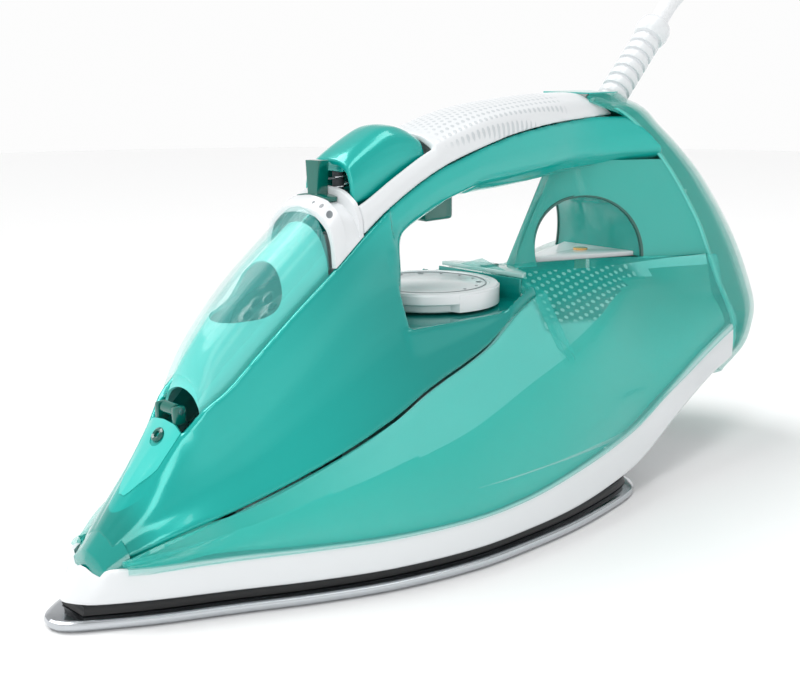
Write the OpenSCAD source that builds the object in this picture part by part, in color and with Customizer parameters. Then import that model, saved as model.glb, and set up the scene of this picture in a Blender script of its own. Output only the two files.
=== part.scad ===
// Steam iron: pointed soleplate, translucent tank, looped handle and heel, cord with plug.
// Millimetres. +X runs from the tip to the heel, +Z up, the soleplate lies on Z = 0.

/* [Body] */
// Overall length, tip of the soleplate to the back of the heel
body_length = 329; // [290:1:400]
// Overall width, across the soleplate
body_width = 121; // [104:1:146]
// Height of the handle's top above the table
body_height = 150; // [142:1:180]
// Wall of the opaque body and of the covers
wall = 2.4; // [1.8:0.1:3]
// Wall of the translucent tank
tank_wall = 2.6; // [2:0.1:3.2]
// Half the width of the handle
grip_half = 18; // [16:0.5:21]

/* [Soleplate and heater] */
// Thickness of the soleplate
sole_t = 3.5; // [2.5:0.1:5]
// Radius of a steam hole
steam_hole_r = 1.1; // [0.8:0.1:1.6]
// Height of the heater casting
casting_h = 11; // [10:0.5:13]
// Distance from the soleplate's edge to the casting
casting_inset = 9; // [8:0.5:12]
// Radius of the tubular heating element
element_r = 3.4; // [2.8:0.1:3.8]
// Thickness of the black heat shield
shield_t = 3.4; // [2.5:0.1:4.5]

/* [Controls] */
// Radius of the temperature dial
dial_r = 26; // [20:0.5:27]
// Height of the temperature dial
dial_h = 8; // [6:0.5:8.5]
// Radius of the thermostat spindle
spindle_r = 3; // [2.5:0.1:4]
// Radius of the spray pump's bore
spray_bore_r = 4.5; // [3.5:0.1:5]
// Travel of the spray button
spray_travel = 4; // [2:0.5:5]
// Radius of the boost pump's bore
boost_bore_r = 5; // [4:0.1:5.5]
// Travel of the boost trigger
boost_travel = 4; // [2:0.5:5]

/* [Rear] */
// Radius of the arch through the rear pillar
arch_r = 23; // [18:0.5:24]
// Radius of the ball at the root of the cord boot
ball_r = 9; // [7:0.5:9.5]
// Wall of the heel shell
heel_wall = 2.8; // [2.2:0.1:3.4]

/* [Cord] */
// Diameter of the mains cord
cord_d = 7.5; // [7:0.1:8]
// Radius of the coil to the middle of its turns
coil_r = 38.75; // [38:0.25:41]

/* [Fits] */
// Gap between a piece and the next one that it slides past
slide_gap = 0.35; // [0.3:0.05:0.5]
// Radial clearance of a spindle, pin or piston in its bore
bore_gap = 0.05; // [0.02:0.01:0.09]

/* [Hidden] */

eps = 0.01;
kx = body_length / 329;
ky = body_width / 121;
kz = body_height / 150;

// ---- Curves: each row is a place along X, then the values there at the nominal size ----

// Soleplate outline: X, half width
SOLE = [[-164.5, 0.6], [-163.6, 4], [-160, 8], [-154, 12], [-140, 20.5], [-118, 31.5],
    [-96, 42.8], [-72, 52.6], [-42, 59.4], [-16, 60.5], [8, 59.7], [34, 56], [50, 52],
    [57, 47], [61.5, 38], [63.5, 20], [64, 0.6]];
// Skirt: X, half width, height of its lower edge, height of its upper edge
SKIRT = [[-159, 3, 7.5, 8.5], [-154.5, 9.5, 7.5, 16.5], [-140, 19, 7.5, 17.5],
    [-118, 30, 7.3, 17.8], [-96, 41.3, 7.1, 17.6], [-72, 51.2, 7, 17.3], [-42, 58, 7, 17.2],
    [-16, 59.1, 7.2, 18.2], [8, 58.3, 7.8, 21], [34, 55, 9.5, 24], [57, 51.5, 13, 28],
    [84, 48.5, 24.5, 38], [100, 46.5, 30.5, 44], [117, 44, 35.5, 49], [133, 42, 39, 53.5]];
// Shoulder crease of the tank: X, half width, height
CREASE = [[-150, 9.5, 17.2], [-126, 22, 22], [-108, 31.5, 27], [-83, 42, 34], [-67, 46, 37.5],
    [-36, 48.5, 43], [-5, 46.5, 51.5], [27, 43, 60], [51, 38, 68], [75, 32, 76],
    [100, 33, 72], [128, 37.5, 66]];
// Joint of the tank and the opaque body: X, half width, height
JOINT = [[-150, 8, 17.6], [-135, 18, 25], [-108, 27, 32.5], [-83, 35.5, 42.5], [-60, 38, 51],
    [-44, 38, 58], [-14, 36, 67.5], [4, 32.5, 76], [18, 29, 80]];
// Body crease beside the nose: X, half width, height
FLANK = [[-150, 6, 19], [-135, 11.5, 32], [-120, 15, 41.5], [-108, 18, 49], [-97, 20.5, 57.5],
    [-84, 22.5, 67], [-73, 23, 76], [-60, 22.5, 86], [-42, 22, 92]];
// Upper edge of the opaque body, where the window and the handle cover begin: X, half width, height
BRIM = [[-150, 3.5, 20.5], [-135, 7, 36], [-122, 9.5, 52], [-115, 13, 60], [-108, 15, 65],
    [-97, 17, 75], [-82, 18, 87], [-67, 18, 97.5], [-54, 18.3, 107.5], [-40, 18.6, 116.5],
    [-20, 18, 126], [0, 18, 132], [21, 17, 136.5], [47, 15.5, 139.5], [74, 13, 141]];
// Nose and handle in the middle plane: X, height of the top
CROWN = [[-150, 21.5], [-135, 38.5], [-124, 51], [-119.5, 60], [-111, 77], [-101, 88.5],
    [-89, 99.5], [-74, 111], [-62, 120], [-50, 124], [-36, 131], [-22, 137.5], [3, 145],
    [30, 148.5], [64, 150], [90, 148.5], [100, 145]];
// Underside of the handle: X, height in the middle plane
GRIP_LOW = [[-44, 98], [-36, 102], [-30, 105.5], [-12, 112.5], [-2, 115], [20, 116], [41, 117.5],
    [58, 119.5], [76, 120.5], [98, 121]];
// Heel by height: Z, X of the front edge, half width, X of the back
HEEL = [[32, 128, 36, 143], [42, 135, 40, 156.5], [52, 134.5, 41, 163], [59, 132, 40.5, 164.5],
    [71, 127, 37.5, 162.5], [84, 122.5, 34.5, 157.5], [96, 118, 32, 150.5], [108, 111, 29.3, 142],
    [118, 104, 27, 133.5], [129, 95, 24, 121.5], [137, 87, 22, 111], [143, 78, 20, 104],
    [147.5, 68, 14, 98]];

function seg(t, x, i = 0) = i >= len(t) - 2 || x < t[i + 1][0] ? i : seg(t, x, i + 1);
function slope(t, i, k) = let (a = max(i - 1, 0), b = min(i + 1, len(t) - 1))
    (t[b][k] - t[a][k]) / (t[b][0] - t[a][0]);
// Value of column k at x, on a smooth curve through the rows
function at(t, x, k = 1) = x <= t[0][0] ? t[0][k] : x >= t[len(t) - 1][0] ? t[len(t) - 1][k] :
    let (i = seg(t, x), h = t[i + 1][0] - t[i][0], u = (x - t[i][0]) / h,
        p = slope(t, i, k) * h, q = slope(t, i + 1, k) * h)
    t[i][k] * (1 + 2 * u) * (1 - u) * (1 - u) + p * u * (1 - u) * (1 - u)
    + t[i + 1][k] * u * u * (3 - 2 * u) - q * u * u * (1 - u);
function span(a, b, n) = [for (i = [0:n]) a + (b - a) * i / n];
function mix(p, q, u) = p + (q - p) * u;
function back(l) = [for (i = [len(l) - 1:-1:0]) l[i]];
// Moves an open line sideways by d, to its left
function aside(l, d) = [for (i = [0:len(l) - 1])
    let (a = l[max(i - 1, 0)], b = l[min(i + 1, len(l) - 1)], v = (b - a) / norm(b - a))
    l[i] + d * [-v[1], v[0]]];
// A ring for the side s, in mirror image and running the other way for s = -1
function turned(r, s) = [for (p = s > 0 ? r : back(r)) [p[0], s * p[1], p[2]]];
// Full line from its half, whose last point lies in the middle plane
function both(l) = concat(l, [for (i = [len(l) - 2:-1:0]) [-l[i][0], l[i][1]]]);

// Triangles that close a ring of n points: rungs between its two long sides
function cap(n) = [for (j = [0:ceil(n / 2) - 2]) each concat(
    j + 1 < n - 2 - j ? [[j, j + 1, n - 2 - j]] : [], [[j, n - 2 - j, n - 1 - j]])];
// Closed solid through rings of equal length
module loft(rings) {
    n = len(rings[0]);
    m = len(rings);
    polyhedron([for (r = rings) each r], concat(cap(n),
        [for (t = cap(n)) [for (k = [2, 1, 0]) (m - 1) * n + t[k]]],
        [for (i = [0:m - 2], j = [0:n - 1]) each
            let (a = i * n + j, b = i * n + (j + 1) % n, c = a + n, d = b + n)
            [[a, c, b], [b, c, d]]]));
}
// Shifts a ring so that a share u of its way from x0 reaches the heel's slanting front edge
function lean(ring, x0, u) = [for (p = ring) [x0 + u * (heel(p[2], 1) - 0.9 - x0), p[1], p[2]]];
// Rings of a wall whose outer line in the YZ plane at x is given
function wall_ring(x, line, t) = [for (p = concat(line, back(aside(line, t)))) [x, p[0], p[1]]];

// Round tube along a route: frames are carried from point to point
function unit(v) = v / norm(v);
function dirs(p) = [for (i = [0:len(p) - 1]) unit(p[min(i + 1, len(p) - 1)] - p[max(i - 1, 0)])];
function side0(d) = unit(cross(d, abs(d[2]) < 0.9 ? [0, 0, 1] : [0, 1, 0]));
function sides(d, i = 0, s = undef) = let (u = i == 0 ? side0(d[0]) : unit(s - (s * d[i]) * d[i]))
    i == len(d) - 1 ? [u] : concat([u], sides(d, i + 1, u));
module tube(route, r, n = 8) {
    d = dirs(route);
    s = sides(d);
    loft([for (i = [0:len(route) - 1]) let (w = cross(d[i], s[i]))
        [for (j = [0:n - 1]) route[i] + r * (cos(360 * j / n) * s[i] - sin(360 * j / n) * w)]]);
}
// Smooth route through hand-placed points
function bend(p, n) = concat([for (i = [0:len(p) - 2]) let (a = p[max(i - 1, 0)], b = p[i],
    c = p[i + 1], e = p[min(i + 2, len(p) - 1)]) each [for (j = [0:n - 1]) let (u = j / n)
    0.5 * (2 * b + (c - a) * u + (2 * a - 5 * b + 4 * c - e) * u * u
    + (3 * b - a - 3 * c + e) * u * u * u)]], [p[len(p) - 1]]);

// ---- Derived places ----
sole_tip = SOLE[0][0] * kx;
sole_end = SOLE[len(SOLE) - 1][0] * kx;
shield_top = sole_t + shield_t;
casting_top = sole_t + casting_h;
cover_t = 1.6;
gasket_t = 0.8;
cover_top = casting_top + gasket_t + cover_t;
thermostat_h = 5;
floor_t = 2;
floor_z = cover_top + thermostat_h + 1.5;
deck_z = 76 * kz;
dial_x = -8 * kx;
ledge_x = dial_x + dial_r + 1.5;
post_x = -44 * kx;
post_a = 8.5 * kx;
post_b = 22 * ky;
floor_level = 84 * kz;
arch_x = 69 * kx;
arch_z = 87 * kz;
rod_x = -59.5 * kx;
rod_r = 1.6;
spray_x = -50 * kx;
boost_x = -8 * kx;
trigger_l = 14;
trigger_w = 12;
screw_r = 1.8;
ball_x = 86 * kx;
ball_z = 135.5 * kz;
boot_l = 59;

function sole_half(x, inset = 0) = at(SOLE, x / kx) * ky - inset;
function outline(inset, x0, x1, n = 40) = let (h = [for (x = span(x0, x1, n))
    [x, max(sole_half(x) - inset, 0.5)]]) concat(h, [for (p = back(h)) [p[0], -p[1]]]);
function skirt_half(x) = at(SKIRT, x / kx) * ky;
function skirt_low(x) = max(at(SKIRT, x / kx, 2) * kz, shield_top);
function skirt_high(x) = max(at(SKIRT, x / kx, 3) * kz, skirt_low(x) + 0.8);
function spot(t, x) = [at(t, x / kx) * ky, at(t, x / kx, 2) * kz];
function crown(x) = at(CROWN, x / kx) * kz;
function grip_low(x) = at(GRIP_LOW, x / kx) * kz;
function heel(z, k) = at(HEEL, z / kz, k) * (k == 2 ? ky : kx);
// Front of the pillar's wedge at a height, and its wall's half width
function apex(z) = (38.5 + (z / kz - 92) * 0.62) * kx;
function pillar_half(x, z) = let (a = apex(z)) max(0, (x - a) / (heel(z, 1) - a)) * heel(z, 2);

// Half line of the tank at x, from the skirt up to the joint with the body or the pillar
function tank_line(x, top) = let (s = [skirt_half(x) - 0.6, skirt_high(x)], c = spot(CREASE, x),
    b = mix(s, c, 0.5) + [1.4 * ky, 0])
    [s, mix(s, b, 0.5) + [0.5, 0], b, mix(b, c, 0.6) + [0.3, 0], c, mix(c, top, 0.5), top];
// Half line of the opaque body at x, from the joint up to the brim
function body_line(x) = let (j = spot(JOINT, x), f = spot(FLANK, x), b = spot(BRIM, x))
    [j, mix(j, f, 0.5) - [1.5 * ky, 0], f, mix(f, b, 0.5) + [0.4, 0], b];

// ---- Soleplate and heater ----
module soleplate() {
    color("silver") difference() {
        linear_extrude(sole_t) polygon(outline(0, sole_tip, sole_end, 60));
        for (x = [-140:16:36]) for (s = [-1, 1])
            translate([x * kx, s * (sole_half(x * kx) - 7), -1])
                cylinder(r = steam_hole_r, h = sole_t + 2, $fn = 24);
        for (x = [-128:16:-80]) translate([x * kx, 0, -1])
            cylinder(r = steam_hole_r, h = sole_t + 2, $fn = 24);
    }
}
element_half = 24 * ky;
element_front = -70 * kx;
element_back = 40 * kx;
element_z = sole_t + casting_h / 2;
module element_path(r) {
    translate([element_front, 0, element_z]) rotate([0, 0, 90]) rotate_extrude(angle = 180, $fn = 64)
        translate([element_half, 0]) circle(r = r, $fn = 32);
    for (s = [-1, 1]) translate([element_front - eps, s * element_half, element_z])
        rotate([0, 90, 0]) cylinder(r = r, h = element_back - element_front, $fn = 32);
}
module element_pins(r) {
    for (s = [-1, 1]) translate([element_back - 2 * eps, s * element_half, element_z])
        rotate([0, 90, 0]) cylinder(r = r, h = 17, $fn = 24);
}
chamber_front = -100 * kx;
chamber_back = 20 * kx;
chamber_half = element_half - element_r - 4;
module chamber_plan(grow) {
    translate([chamber_front - grow, -chamber_half - grow])
        square([chamber_back - chamber_front + 2 * grow, 2 * (chamber_half + grow)]);
}
module heater_casting() {
    color("darkgray") difference() {
        translate([0, 0, sole_t]) linear_extrude(casting_h)
            polygon(outline(casting_inset, -146 * kx, 54 * kx));
        element_path(element_r + bore_gap);
        element_pins(element_r * 0.45 + bore_gap);
        translate([chamber_front, -chamber_half + 4, sole_t + 3])
            cube([chamber_back - chamber_front, 2 * chamber_half - 8, casting_h]);
        for (p = SCREW_SPOTS) translate([p[0], p[1], casting_top - 6])
            cylinder(r = screw_r, h = 7, $fn = 24);
    }
}
module heating_element() {
    color("dimgray") {
        element_path(element_r);
        element_pins(element_r * 0.45);
    }
}
SCREW_SPOTS = [[-120 * kx, 0], [38 * kx, -12 * ky], [38 * kx, 12 * ky]];
module chamber_gasket() {
    color("orangered") translate([0, 0, casting_top]) linear_extrude(gasket_t) difference() {
        chamber_plan(4);
        chamber_plan(-4.5);
    }
}
module chamber_cover() {
    color("gray") translate([0, 0, casting_top + gasket_t]) linear_extrude(cover_t) difference() {
        chamber_plan(4);
        translate([rod_x, 0]) circle(r = 4, $fn = 32);
    }
}
module heat_shield() {
    color("black") translate([0, 0, sole_t]) linear_extrude(shield_t) difference() {
        polygon(outline(1.8, sole_tip + 3, sole_end - 1.5, 60));
        polygon(outline(casting_inset - 1, -147 * kx, 55 * kx));
    }
}

// ---- Skirt and base ----
// Outline of the skirt's side walls in plan, from one rear end around the tip to the other
SKIRT_X = concat([for (x = span(132, 60, 6)) x], [for (x = span(52, -140, 20)) x],
    [-148, -154, -158]);
function skirt_plan(inset) = let (r = [for (x = SKIRT_X) [x * kx, skirt_half(x * kx)]],
    l = concat(r, [[-159.5 * kx, 0]], [for (p = back(r)) [p[0], -p[1]]])) aside(l, inset);
module skirt() {
    o = skirt_plan(0);
    m = skirt_plan(0.8);
    i = skirt_plan(wall);
    color("white") loft([for (k = [0:len(o) - 1]) let (x = o[k][0], l = skirt_low(x),
        h = skirt_high(x)) [[m[k][0], m[k][1], l], [o[k][0], o[k][1], mix(l, h, 0.15)],
            [o[k][0], o[k][1], mix(l, h, 0.7)], [m[k][0], m[k][1], h], [i[k][0], i[k][1], h],
            [i[k][0], i[k][1], l]]]);
}
module rear_base() {
    color("white") loft([for (x = span(58 * kx, 131 * kx, 16))
        let (w = skirt_half(x) - wall - 0.5, l = skirt_low(x))
        [[x, -w, l], [x, w, l], [x, w, l + wall], [x, -w, l + wall]]]);
}

// ---- Tank ----
// Top of the tank's half line: the joint in front of the ledge, the pillar's foot behind it
function tank_top(x) = x < ledge_x + eps ? spot(JOINT, x) + [1.2, -2]
    : x < apex(floor_level) + eps ? [0, floor_level] : [max(pillar_half(x, floor_level), 1.6), floor_level];
module tank_shell() {
    a = apex(floor_level);
    tail = 130 * kx;
    front = span(-144 * kx, ledge_x, 26);
    mid = span(ledge_x + 0.02, a, 3);
    color("turquoise", 0.6) {
        for (s = [-1, 1]) {
            loft([for (x = front) let (l = tank_line(x, tank_top(x)),
                r = wall_ring(x, l, min(tank_wall, 0.09 * l[0][0]))) turned(r, s)]);
            loft([for (u = span(0, 1, 14)) let (x = mix(a + 0.02, tail, u),
                r = wall_ring(x, tank_line(x, tank_top(x)), tank_wall)) lean(turned(r, s), a + 0.02, u)]);
        }
        loft([for (x = mid) wall_ring(x, both(tank_line(x, tank_top(x))), tank_wall)]);
    }
}
// Inner half width of the tank at a height
function tank_inner(x, z) = let (l = tank_line(x, tank_top(x)))
    lookup(z, [for (p = l) [p[1], p[0]]]) - tank_wall;
module tank_floor() {
    h = [for (x = span(-104 * kx, 46 * kx, 24))
        [x, min(tank_inner(x, floor_z), tank_inner(x, floor_z + floor_t)) - 0.8]];
    color("lightgray") translate([0, 0, floor_z]) linear_extrude(floor_t) difference() {
        polygon(concat(h, [for (p = back(h)) [p[0], -p[1]]]));
        translate([dial_x, 0]) circle(r = spindle_r + 3, $fn = 32);
        translate([rod_x, 0]) circle(r = 4, $fn = 32);
    }
}

// ---- Opaque body ----
module body_side(s) {
    color("mediumturquoise") loft([for (x = span(-146 * kx, post_x, 30))
        let (l = body_line(x)) turned(wall_ring(x, l, min(wall, 0.28 * l[4][0])), s)]);
}
module body_left() { body_side(-1); }
module body_right() { body_side(1); }
// Rim of the deck at x, on the line from the joint to the flank
function deck_edge(x) = let (j = spot(JOINT, x), f = spot(FLANK, x), e = max(deck_z, j[1] + 0.8))
    [mix(j[0], f[0], (e - j[1]) / (f[1] - j[1])), e];
// Deck that carries the dial, with a side strip down to the tank
module dial_deck() {
    xs = span(post_x + 0.1, ledge_x - 0.1, 14);
    color("mediumturquoise") {
        for (s = [-1, 1]) loft([for (x = xs) let (j = spot(JOINT, x), e = deck_edge(x))
            turned(wall_ring(x, [j, mix(j, e, 0.5) - [1, 0], e], wall), s)]);
        translate([0, 0, deck_z - wall]) linear_extrude(wall) difference() {
            h = [for (x = xs) [x, deck_edge(x)[0] - wall - 0.4]];
            polygon(concat(h, [for (p = back(h)) [p[0], -p[1]]]));
            translate([dial_x, 0]) circle(r = spindle_r + slide_gap, $fn = 48);
        }
    }
}
// Rounded back of the post, towards the finger gap
module post_back() {
    color("mediumturquoise") loft([for (g = span(-88, 88, 22)) let (o = [post_a * cos(g), post_b * sin(g)],
        v = unit([o[0] / post_a / post_a, o[1] / post_b / post_b]), x = post_x + 0.1 + o[0],
        i = [x, o[1]] - wall * v, z = grip_low(x) - 1)
        [[x, o[1], deck_z + 0.1], [x, o[1], z], [i[0], i[1], z], [i[0], i[1], deck_z + 0.1]]]);
}
panel_x = -124 * kx;
hinge_x = -119 * kx;
hinge_z = 58.5 * kz;
module nozzle_panel() {
    color("teal") for (s = [-1, 1]) {
        loft([for (x = span(-138 * kx, -122 * kx, 6)) let (b = spot(BRIM, x), c = crown(x),
            y = b[0] - wall - 0.3, l = [[y, b[1]], [y * 0.6 + 1.2, mix(b[1], c, 0.7)], [2.9, c - 0.6]])
            turned(wall_ring(x, l, 1.6), s)]);
        translate([hinge_x, s * 4.6 - 1, hinge_z]) difference() {
            translate([-4.5, 0, -4]) cube([7, 2, 6.4]);
            translate([0, -1, 0]) rotate([-90, 0, 0]) cylinder(r = 1 + bore_gap, h = 4, $fn = 24);
        }
    }
}
module spray_nozzle() {
    color("darkcyan") translate([panel_x, 0, crown(panel_x)]) rotate([0, -50, 0]) difference() {
        translate([0, 0, -10]) cylinder(r = 2.5, h = 11, $fn = 32);
        translate([0, 0, -11]) cylinder(r = 0.8, h = 13, $fn = 24);
    }
}
// Clear flap over the nose; it swings forward on a pin at its lower end
module fill_door() {
    color("paleturquoise", 0.4) {
        loft([for (x = span(-115.5 * kx, -67.5 * kx, 16))
            let (b = spot(BRIM, x) - [wall + 0.5, 0], c = crown(x))
            wall_ring(x, both([b, [b[0] * 0.92, mix(b[1], c, 0.45)],
                [b[0] * 0.68, mix(b[1], c, 0.78)], [b[0] * 0.35, mix(b[1], c, 0.95)], [0, c]]), 1.8)]);
        translate([hinge_x, 0, hinge_z]) difference() {
            union() {
                translate([0, -3.2, 0]) rotate([-90, 0, 0]) cylinder(r = 2, h = 6.4, $fn = 32);
                translate([0, -3.2, 0]) rotate([0, -52, 0]) translate([0.6, 0, -1]) cube([6.4, 6.4, 2]);
            }
            translate([0, -4, 0]) rotate([-90, 0, 0]) cylinder(r = 1, h = 8, $fn = 24);
        }
    }
}
module fill_door_pin() {
    color("silver") translate([hinge_x, -5.8, hinge_z]) rotate([-90, 0, 0])
        cylinder(r = 1, h = 11.6, $fn = 24);
}
module fill_inlet() {
    color("teal") translate([-84 * kx, 0, 84 * kz]) rotate([0, -45, 0]) difference() {
        union() {
            translate([0, 0, -18]) cylinder(r = 10, h = 18, $fn = 48);
            translate([0, 0, -3]) cylinder(r = 12.5, h = 3, $fn = 48);
        }
        translate([0, 0, -19]) cylinder(r = 8, h = 17, $fn = 48);
        for (g = [0:60:300]) rotate(g) translate([5, 0, -3]) cylinder(r = 1.8, h = 4, $fn = 24);
    }
}

// ---- Handle ----
function cover_line(x) = let (b = spot(BRIM, x), c = crown(x), y = min(b[0], grip_half))
    [[y, b[1] + 0.3], [y * 0.97, mix(b[1], c, 0.4)], [y * 0.84, mix(b[1], c, 0.7)],
        [y * 0.5, mix(b[1], c, 0.94)], [0, c]];
// The well of the spray button interrupts the top of the cover
well_front = -54.6 * kx;
well_back = -20 * kx;
well_half = 13;
// Cover line that stops at the well's edge
function cheek_line(x) = let (b = spot(BRIM, x), c = crown(x), y = min(b[0], grip_half))
    [[y, b[1] + 0.3], [y * 0.98, mix(b[1], c, 0.35)], [well_half + 1.9, mix(b[1], c, 0.62)]];
module handle_cover() {
    lean_x = 46 * kx;
    top_x = 74 * kx;
    color("white") {
        for (s = [-1, 1]) loft([for (x = span(well_front, well_back, 8))
            turned(wall_ring(x, cheek_line(x), 1.8), s)]);
        loft(concat([for (x = span(well_back + 0.02, lean_x, 10)) wall_ring(x, both(cover_line(x)), wall)],
            [for (u = span(0.2, 1, 4)) let (x = mix(lean_x, top_x, u))
                lean(wall_ring(x, both(cover_line(x)), wall), lean_x, u)]));
    }
}
// Half line of the handle's underside at x; it flares out to meet the heel
function under_line(x) = let (b = spot(BRIM, x), g = grip_low(x), f = max(0, (x / kx - 50) / 46),
    t = min(b[0], grip_half) + f * f * 7, w = t + f * f * 8)
    [[t - 0.6, b[1] - 0.2], [mix(t, w, 0.5), mix(b[1], g, 0.35)], [w * 0.94, mix(b[1], g, 0.72)],
        [w * 0.62, mix(b[1], g, 0.96)], [0, g]];
module handle_lower() {
    slot = trigger_l / 2 + slide_gap;
    lean_x = 54 * kx;
    end_x = 98 * kx;
    color("mediumturquoise") {
        loft([for (x = span(post_x + 0.1, boost_x - slot, 8)) wall_ring(x, back(both(under_line(x))), wall)]);
        loft(concat([for (x = span(boost_x + slot, lean_x, 10)) wall_ring(x, back(both(under_line(x))), wall)],
            [for (u = span(0.1, 1, 9)) let (x = mix(lean_x, end_x, u))
                lean(wall_ring(x, back(both(under_line(x))), wall), lean_x, u)]));
        for (s = [-1, 1]) loft([for (x = [boost_x - slot + 0.02, boost_x + slot - 0.02])
            let (l = under_line(x), e = [trigger_w / 2 + slide_gap + 0.6, mix(l[3][1], l[4][1], 0.4)])
            turned(back(wall_ring(x, [l[0], l[1], l[2], e], -wall)), s)]);
    }
}
ring_front = -66.8 * kx;
groove_front = -62.2 * kx;
groove_back = -56.4 * kx;
groove_d = 1.6;
module slider_ring() {
    color("white") loft([for (r = [[ring_front, 0], [groove_front, 0], [groove_front + eps, groove_d],
        [groove_back - eps, groove_d], [groove_back, 0], [well_front - 0.3, 0]])
        let (x = r[0], l = cover_line(x), g = cover_line(groove_front))
        wall_ring(x, both([for (k = [0:len(l) - 1]) r[1] == 0 || k == 0 ? l[k] : g[k] - [0, r[1]]]), 2)]);
}

// ---- Steam slider and dosing valve ----
swing_r = 30;
axis_z = crown(groove_front) - swing_r;
// Arc of angle +-a about the slider's axis, from radius r0 to r1, in the groove
module arc_block(a, r0, r1, x0, x1) {
    translate([x0, 0, axis_z]) rotate([0, 90, 0]) rotate([0, 0, 180 - a])
        rotate_extrude(angle = 2 * a, $fn = 96) translate([r0, 0]) square([r1 - r0, x1 - x0]);
}
module steam_slider() {
    color("darkgreen") {
        arc_block(14, swing_r - groove_d + slide_gap, swing_r + 0.2, groove_front + slide_gap,
            groove_back - slide_gap);
        arc_block(4.5, swing_r, swing_r + 11, groove_front + slide_gap + 0.6, groove_back - slide_gap);
    }
}
rod_low = floor_z + floor_t + 2;
rod_high = 108 * kz;
module valve_rod() {
    color("lightgray") translate([rod_x, 0, rod_low]) cylinder(r = rod_r, h = rod_high - rod_low, $fn = 32);
}
module valve_seat() {
    color("dimgray") difference() {
        union() {
            translate([rod_x, 0, floor_z + floor_t]) cylinder(r = 7, h = 5, $fn = 48);
            translate([rod_x, 0, cover_top - 1]) cylinder(r = 3.4, h = floor_z + floor_t - cover_top + 2,
                $fn = 32);
        }
        translate([rod_x, 0, rod_low - 3]) cylinder(r = rod_r + bore_gap, h = 12, $fn = 32);
        translate([rod_x, 0, cover_top - 2]) cylinder(r = 0.8, h = 20, $fn = 24);
    }
}

// ---- Spray button and pump ----
// Top of the hood at x
HOOD = [[-54.3, 131], [-51, 133.5], [-44, 137.5], [-36, 141], [-30, 141.3], [-25, 140], [-21.5, 138]];
hood_half = well_half - slide_gap - 0.2;
function hood_top(x) = at(HOOD, x / kx) * kz;
hood_low = crown(well_front) - 6;
module spray_button() {
    x = span(well_front + 0.4, well_back - 1.2, 12);
    color("mediumturquoise") {
        loft([for (x = x) let (t = hood_top(x), b = hood_low + (x - well_front) * 0.25)
            wall_ring(x, both([[hood_half, b], [hood_half * 0.98, mix(b, t, 0.45)],
                [hood_half * 0.82, mix(b, t, 0.8)], [hood_half * 0.45, mix(b, t, 0.97)], [0, t]]), 2)]);
        translate([spray_x - 5, -5, hood_top(spray_x) - 2 - 1.5 - 4]) cube([10, 10, 4]);
    }
}
spray_top = 106 * kz;
spray_h = spray_travel + 20;
piston_z = spray_top - 3;
module ring_cup(r, t, h) {
    difference() {
        cylinder(r = r + t, h = h, $fn = 48);
        translate([0, 0, 2]) cylinder(r = r, h = h, $fn = 48);
    }
}
module spray_pump() {
    color("lightgray") translate([spray_x, 0, spray_top - spray_h]) ring_cup(spray_bore_r, 1.5, spray_h);
}
module spray_piston() {
    color("gray") translate([spray_x, 0, 0]) union() {
        translate([0, 0, piston_z - 7]) cylinder(r = spray_bore_r - bore_gap, h = 7, $fn = 48);
        translate([0, 0, piston_z - 1]) cylinder(r = 2, h = hood_top(spray_x) - 7.5 - piston_z + 1, $fn = 32);
    }
}
// Compression spring as a swept helix
module coil_spring(r, wire, h, turns) {
    tube([for (i = [0:turns * 10]) [r * cos(36 * i), r * sin(36 * i), wire + (h - 2 * wire) * i / (turns * 10)]],
        wire, 6);
}
module spray_spring() {
    color("silver") translate([spray_x, 0, spray_top + 0.1])
        coil_spring(4, 0.4, hood_top(spray_x) - 7.5 - spray_top - 0.2, 6);
}

// ---- Boost trigger and pump ----
trigger_low = grip_low(boost_x) - 7;
flange_z = grip_low(boost_x) + wall + 3.4;
boost_cup = flange_z + boost_travel + 4;
boost_h = 9.4;
module boost_trigger() {
    color("teal") {
        translate([boost_x - trigger_l / 2, -trigger_w / 2, trigger_low])
            cube([trigger_l, trigger_w, flange_z - trigger_low]);
        translate([boost_x - trigger_l / 2 - 1.5, -trigger_w / 2 - 1.5, flange_z])
            cube([trigger_l + 3, trigger_w + 3, 1.6]);
    }
}
module boost_pump() {
    color("lightgray") translate([boost_x, 0, boost_cup + boost_h]) rotate([180, 0, 0])
        ring_cup(boost_bore_r, 1.4, boost_h);
}
module boost_piston() {
    color("gray") translate([boost_x, 0, 0]) union() {
        translate([0, 0, boost_cup + 0.2]) cylinder(r = boost_bore_r - bore_gap, h = 2.6, $fn = 48);
        translate([0, 0, flange_z + 1.6]) cylinder(r = 2, h = boost_cup - flange_z, $fn = 32);
    }
}
module boost_spring() {
    color("silver") translate([boost_x, 0, flange_z + 1.7])
        coil_spring(4, 0.35, boost_cup - flange_z - 1.8, 3);
}
module spray_hose() {
    color("white") tube(bend([[spray_x, spray_bore_r + 1.6, 90 * kz], [spray_x - 2, 10, 89 * kz], [-66 * kx, 12, 80 * kz],
        [-84 * kx, 13, 62 * kz], [-102 * kx, 8, 48 * kz], [-112 * kx, 2, 43.5 * kz],
        [-116.2 * kx, 0, 43.2 * kz]], 4), 1.8, 8);
}

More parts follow.
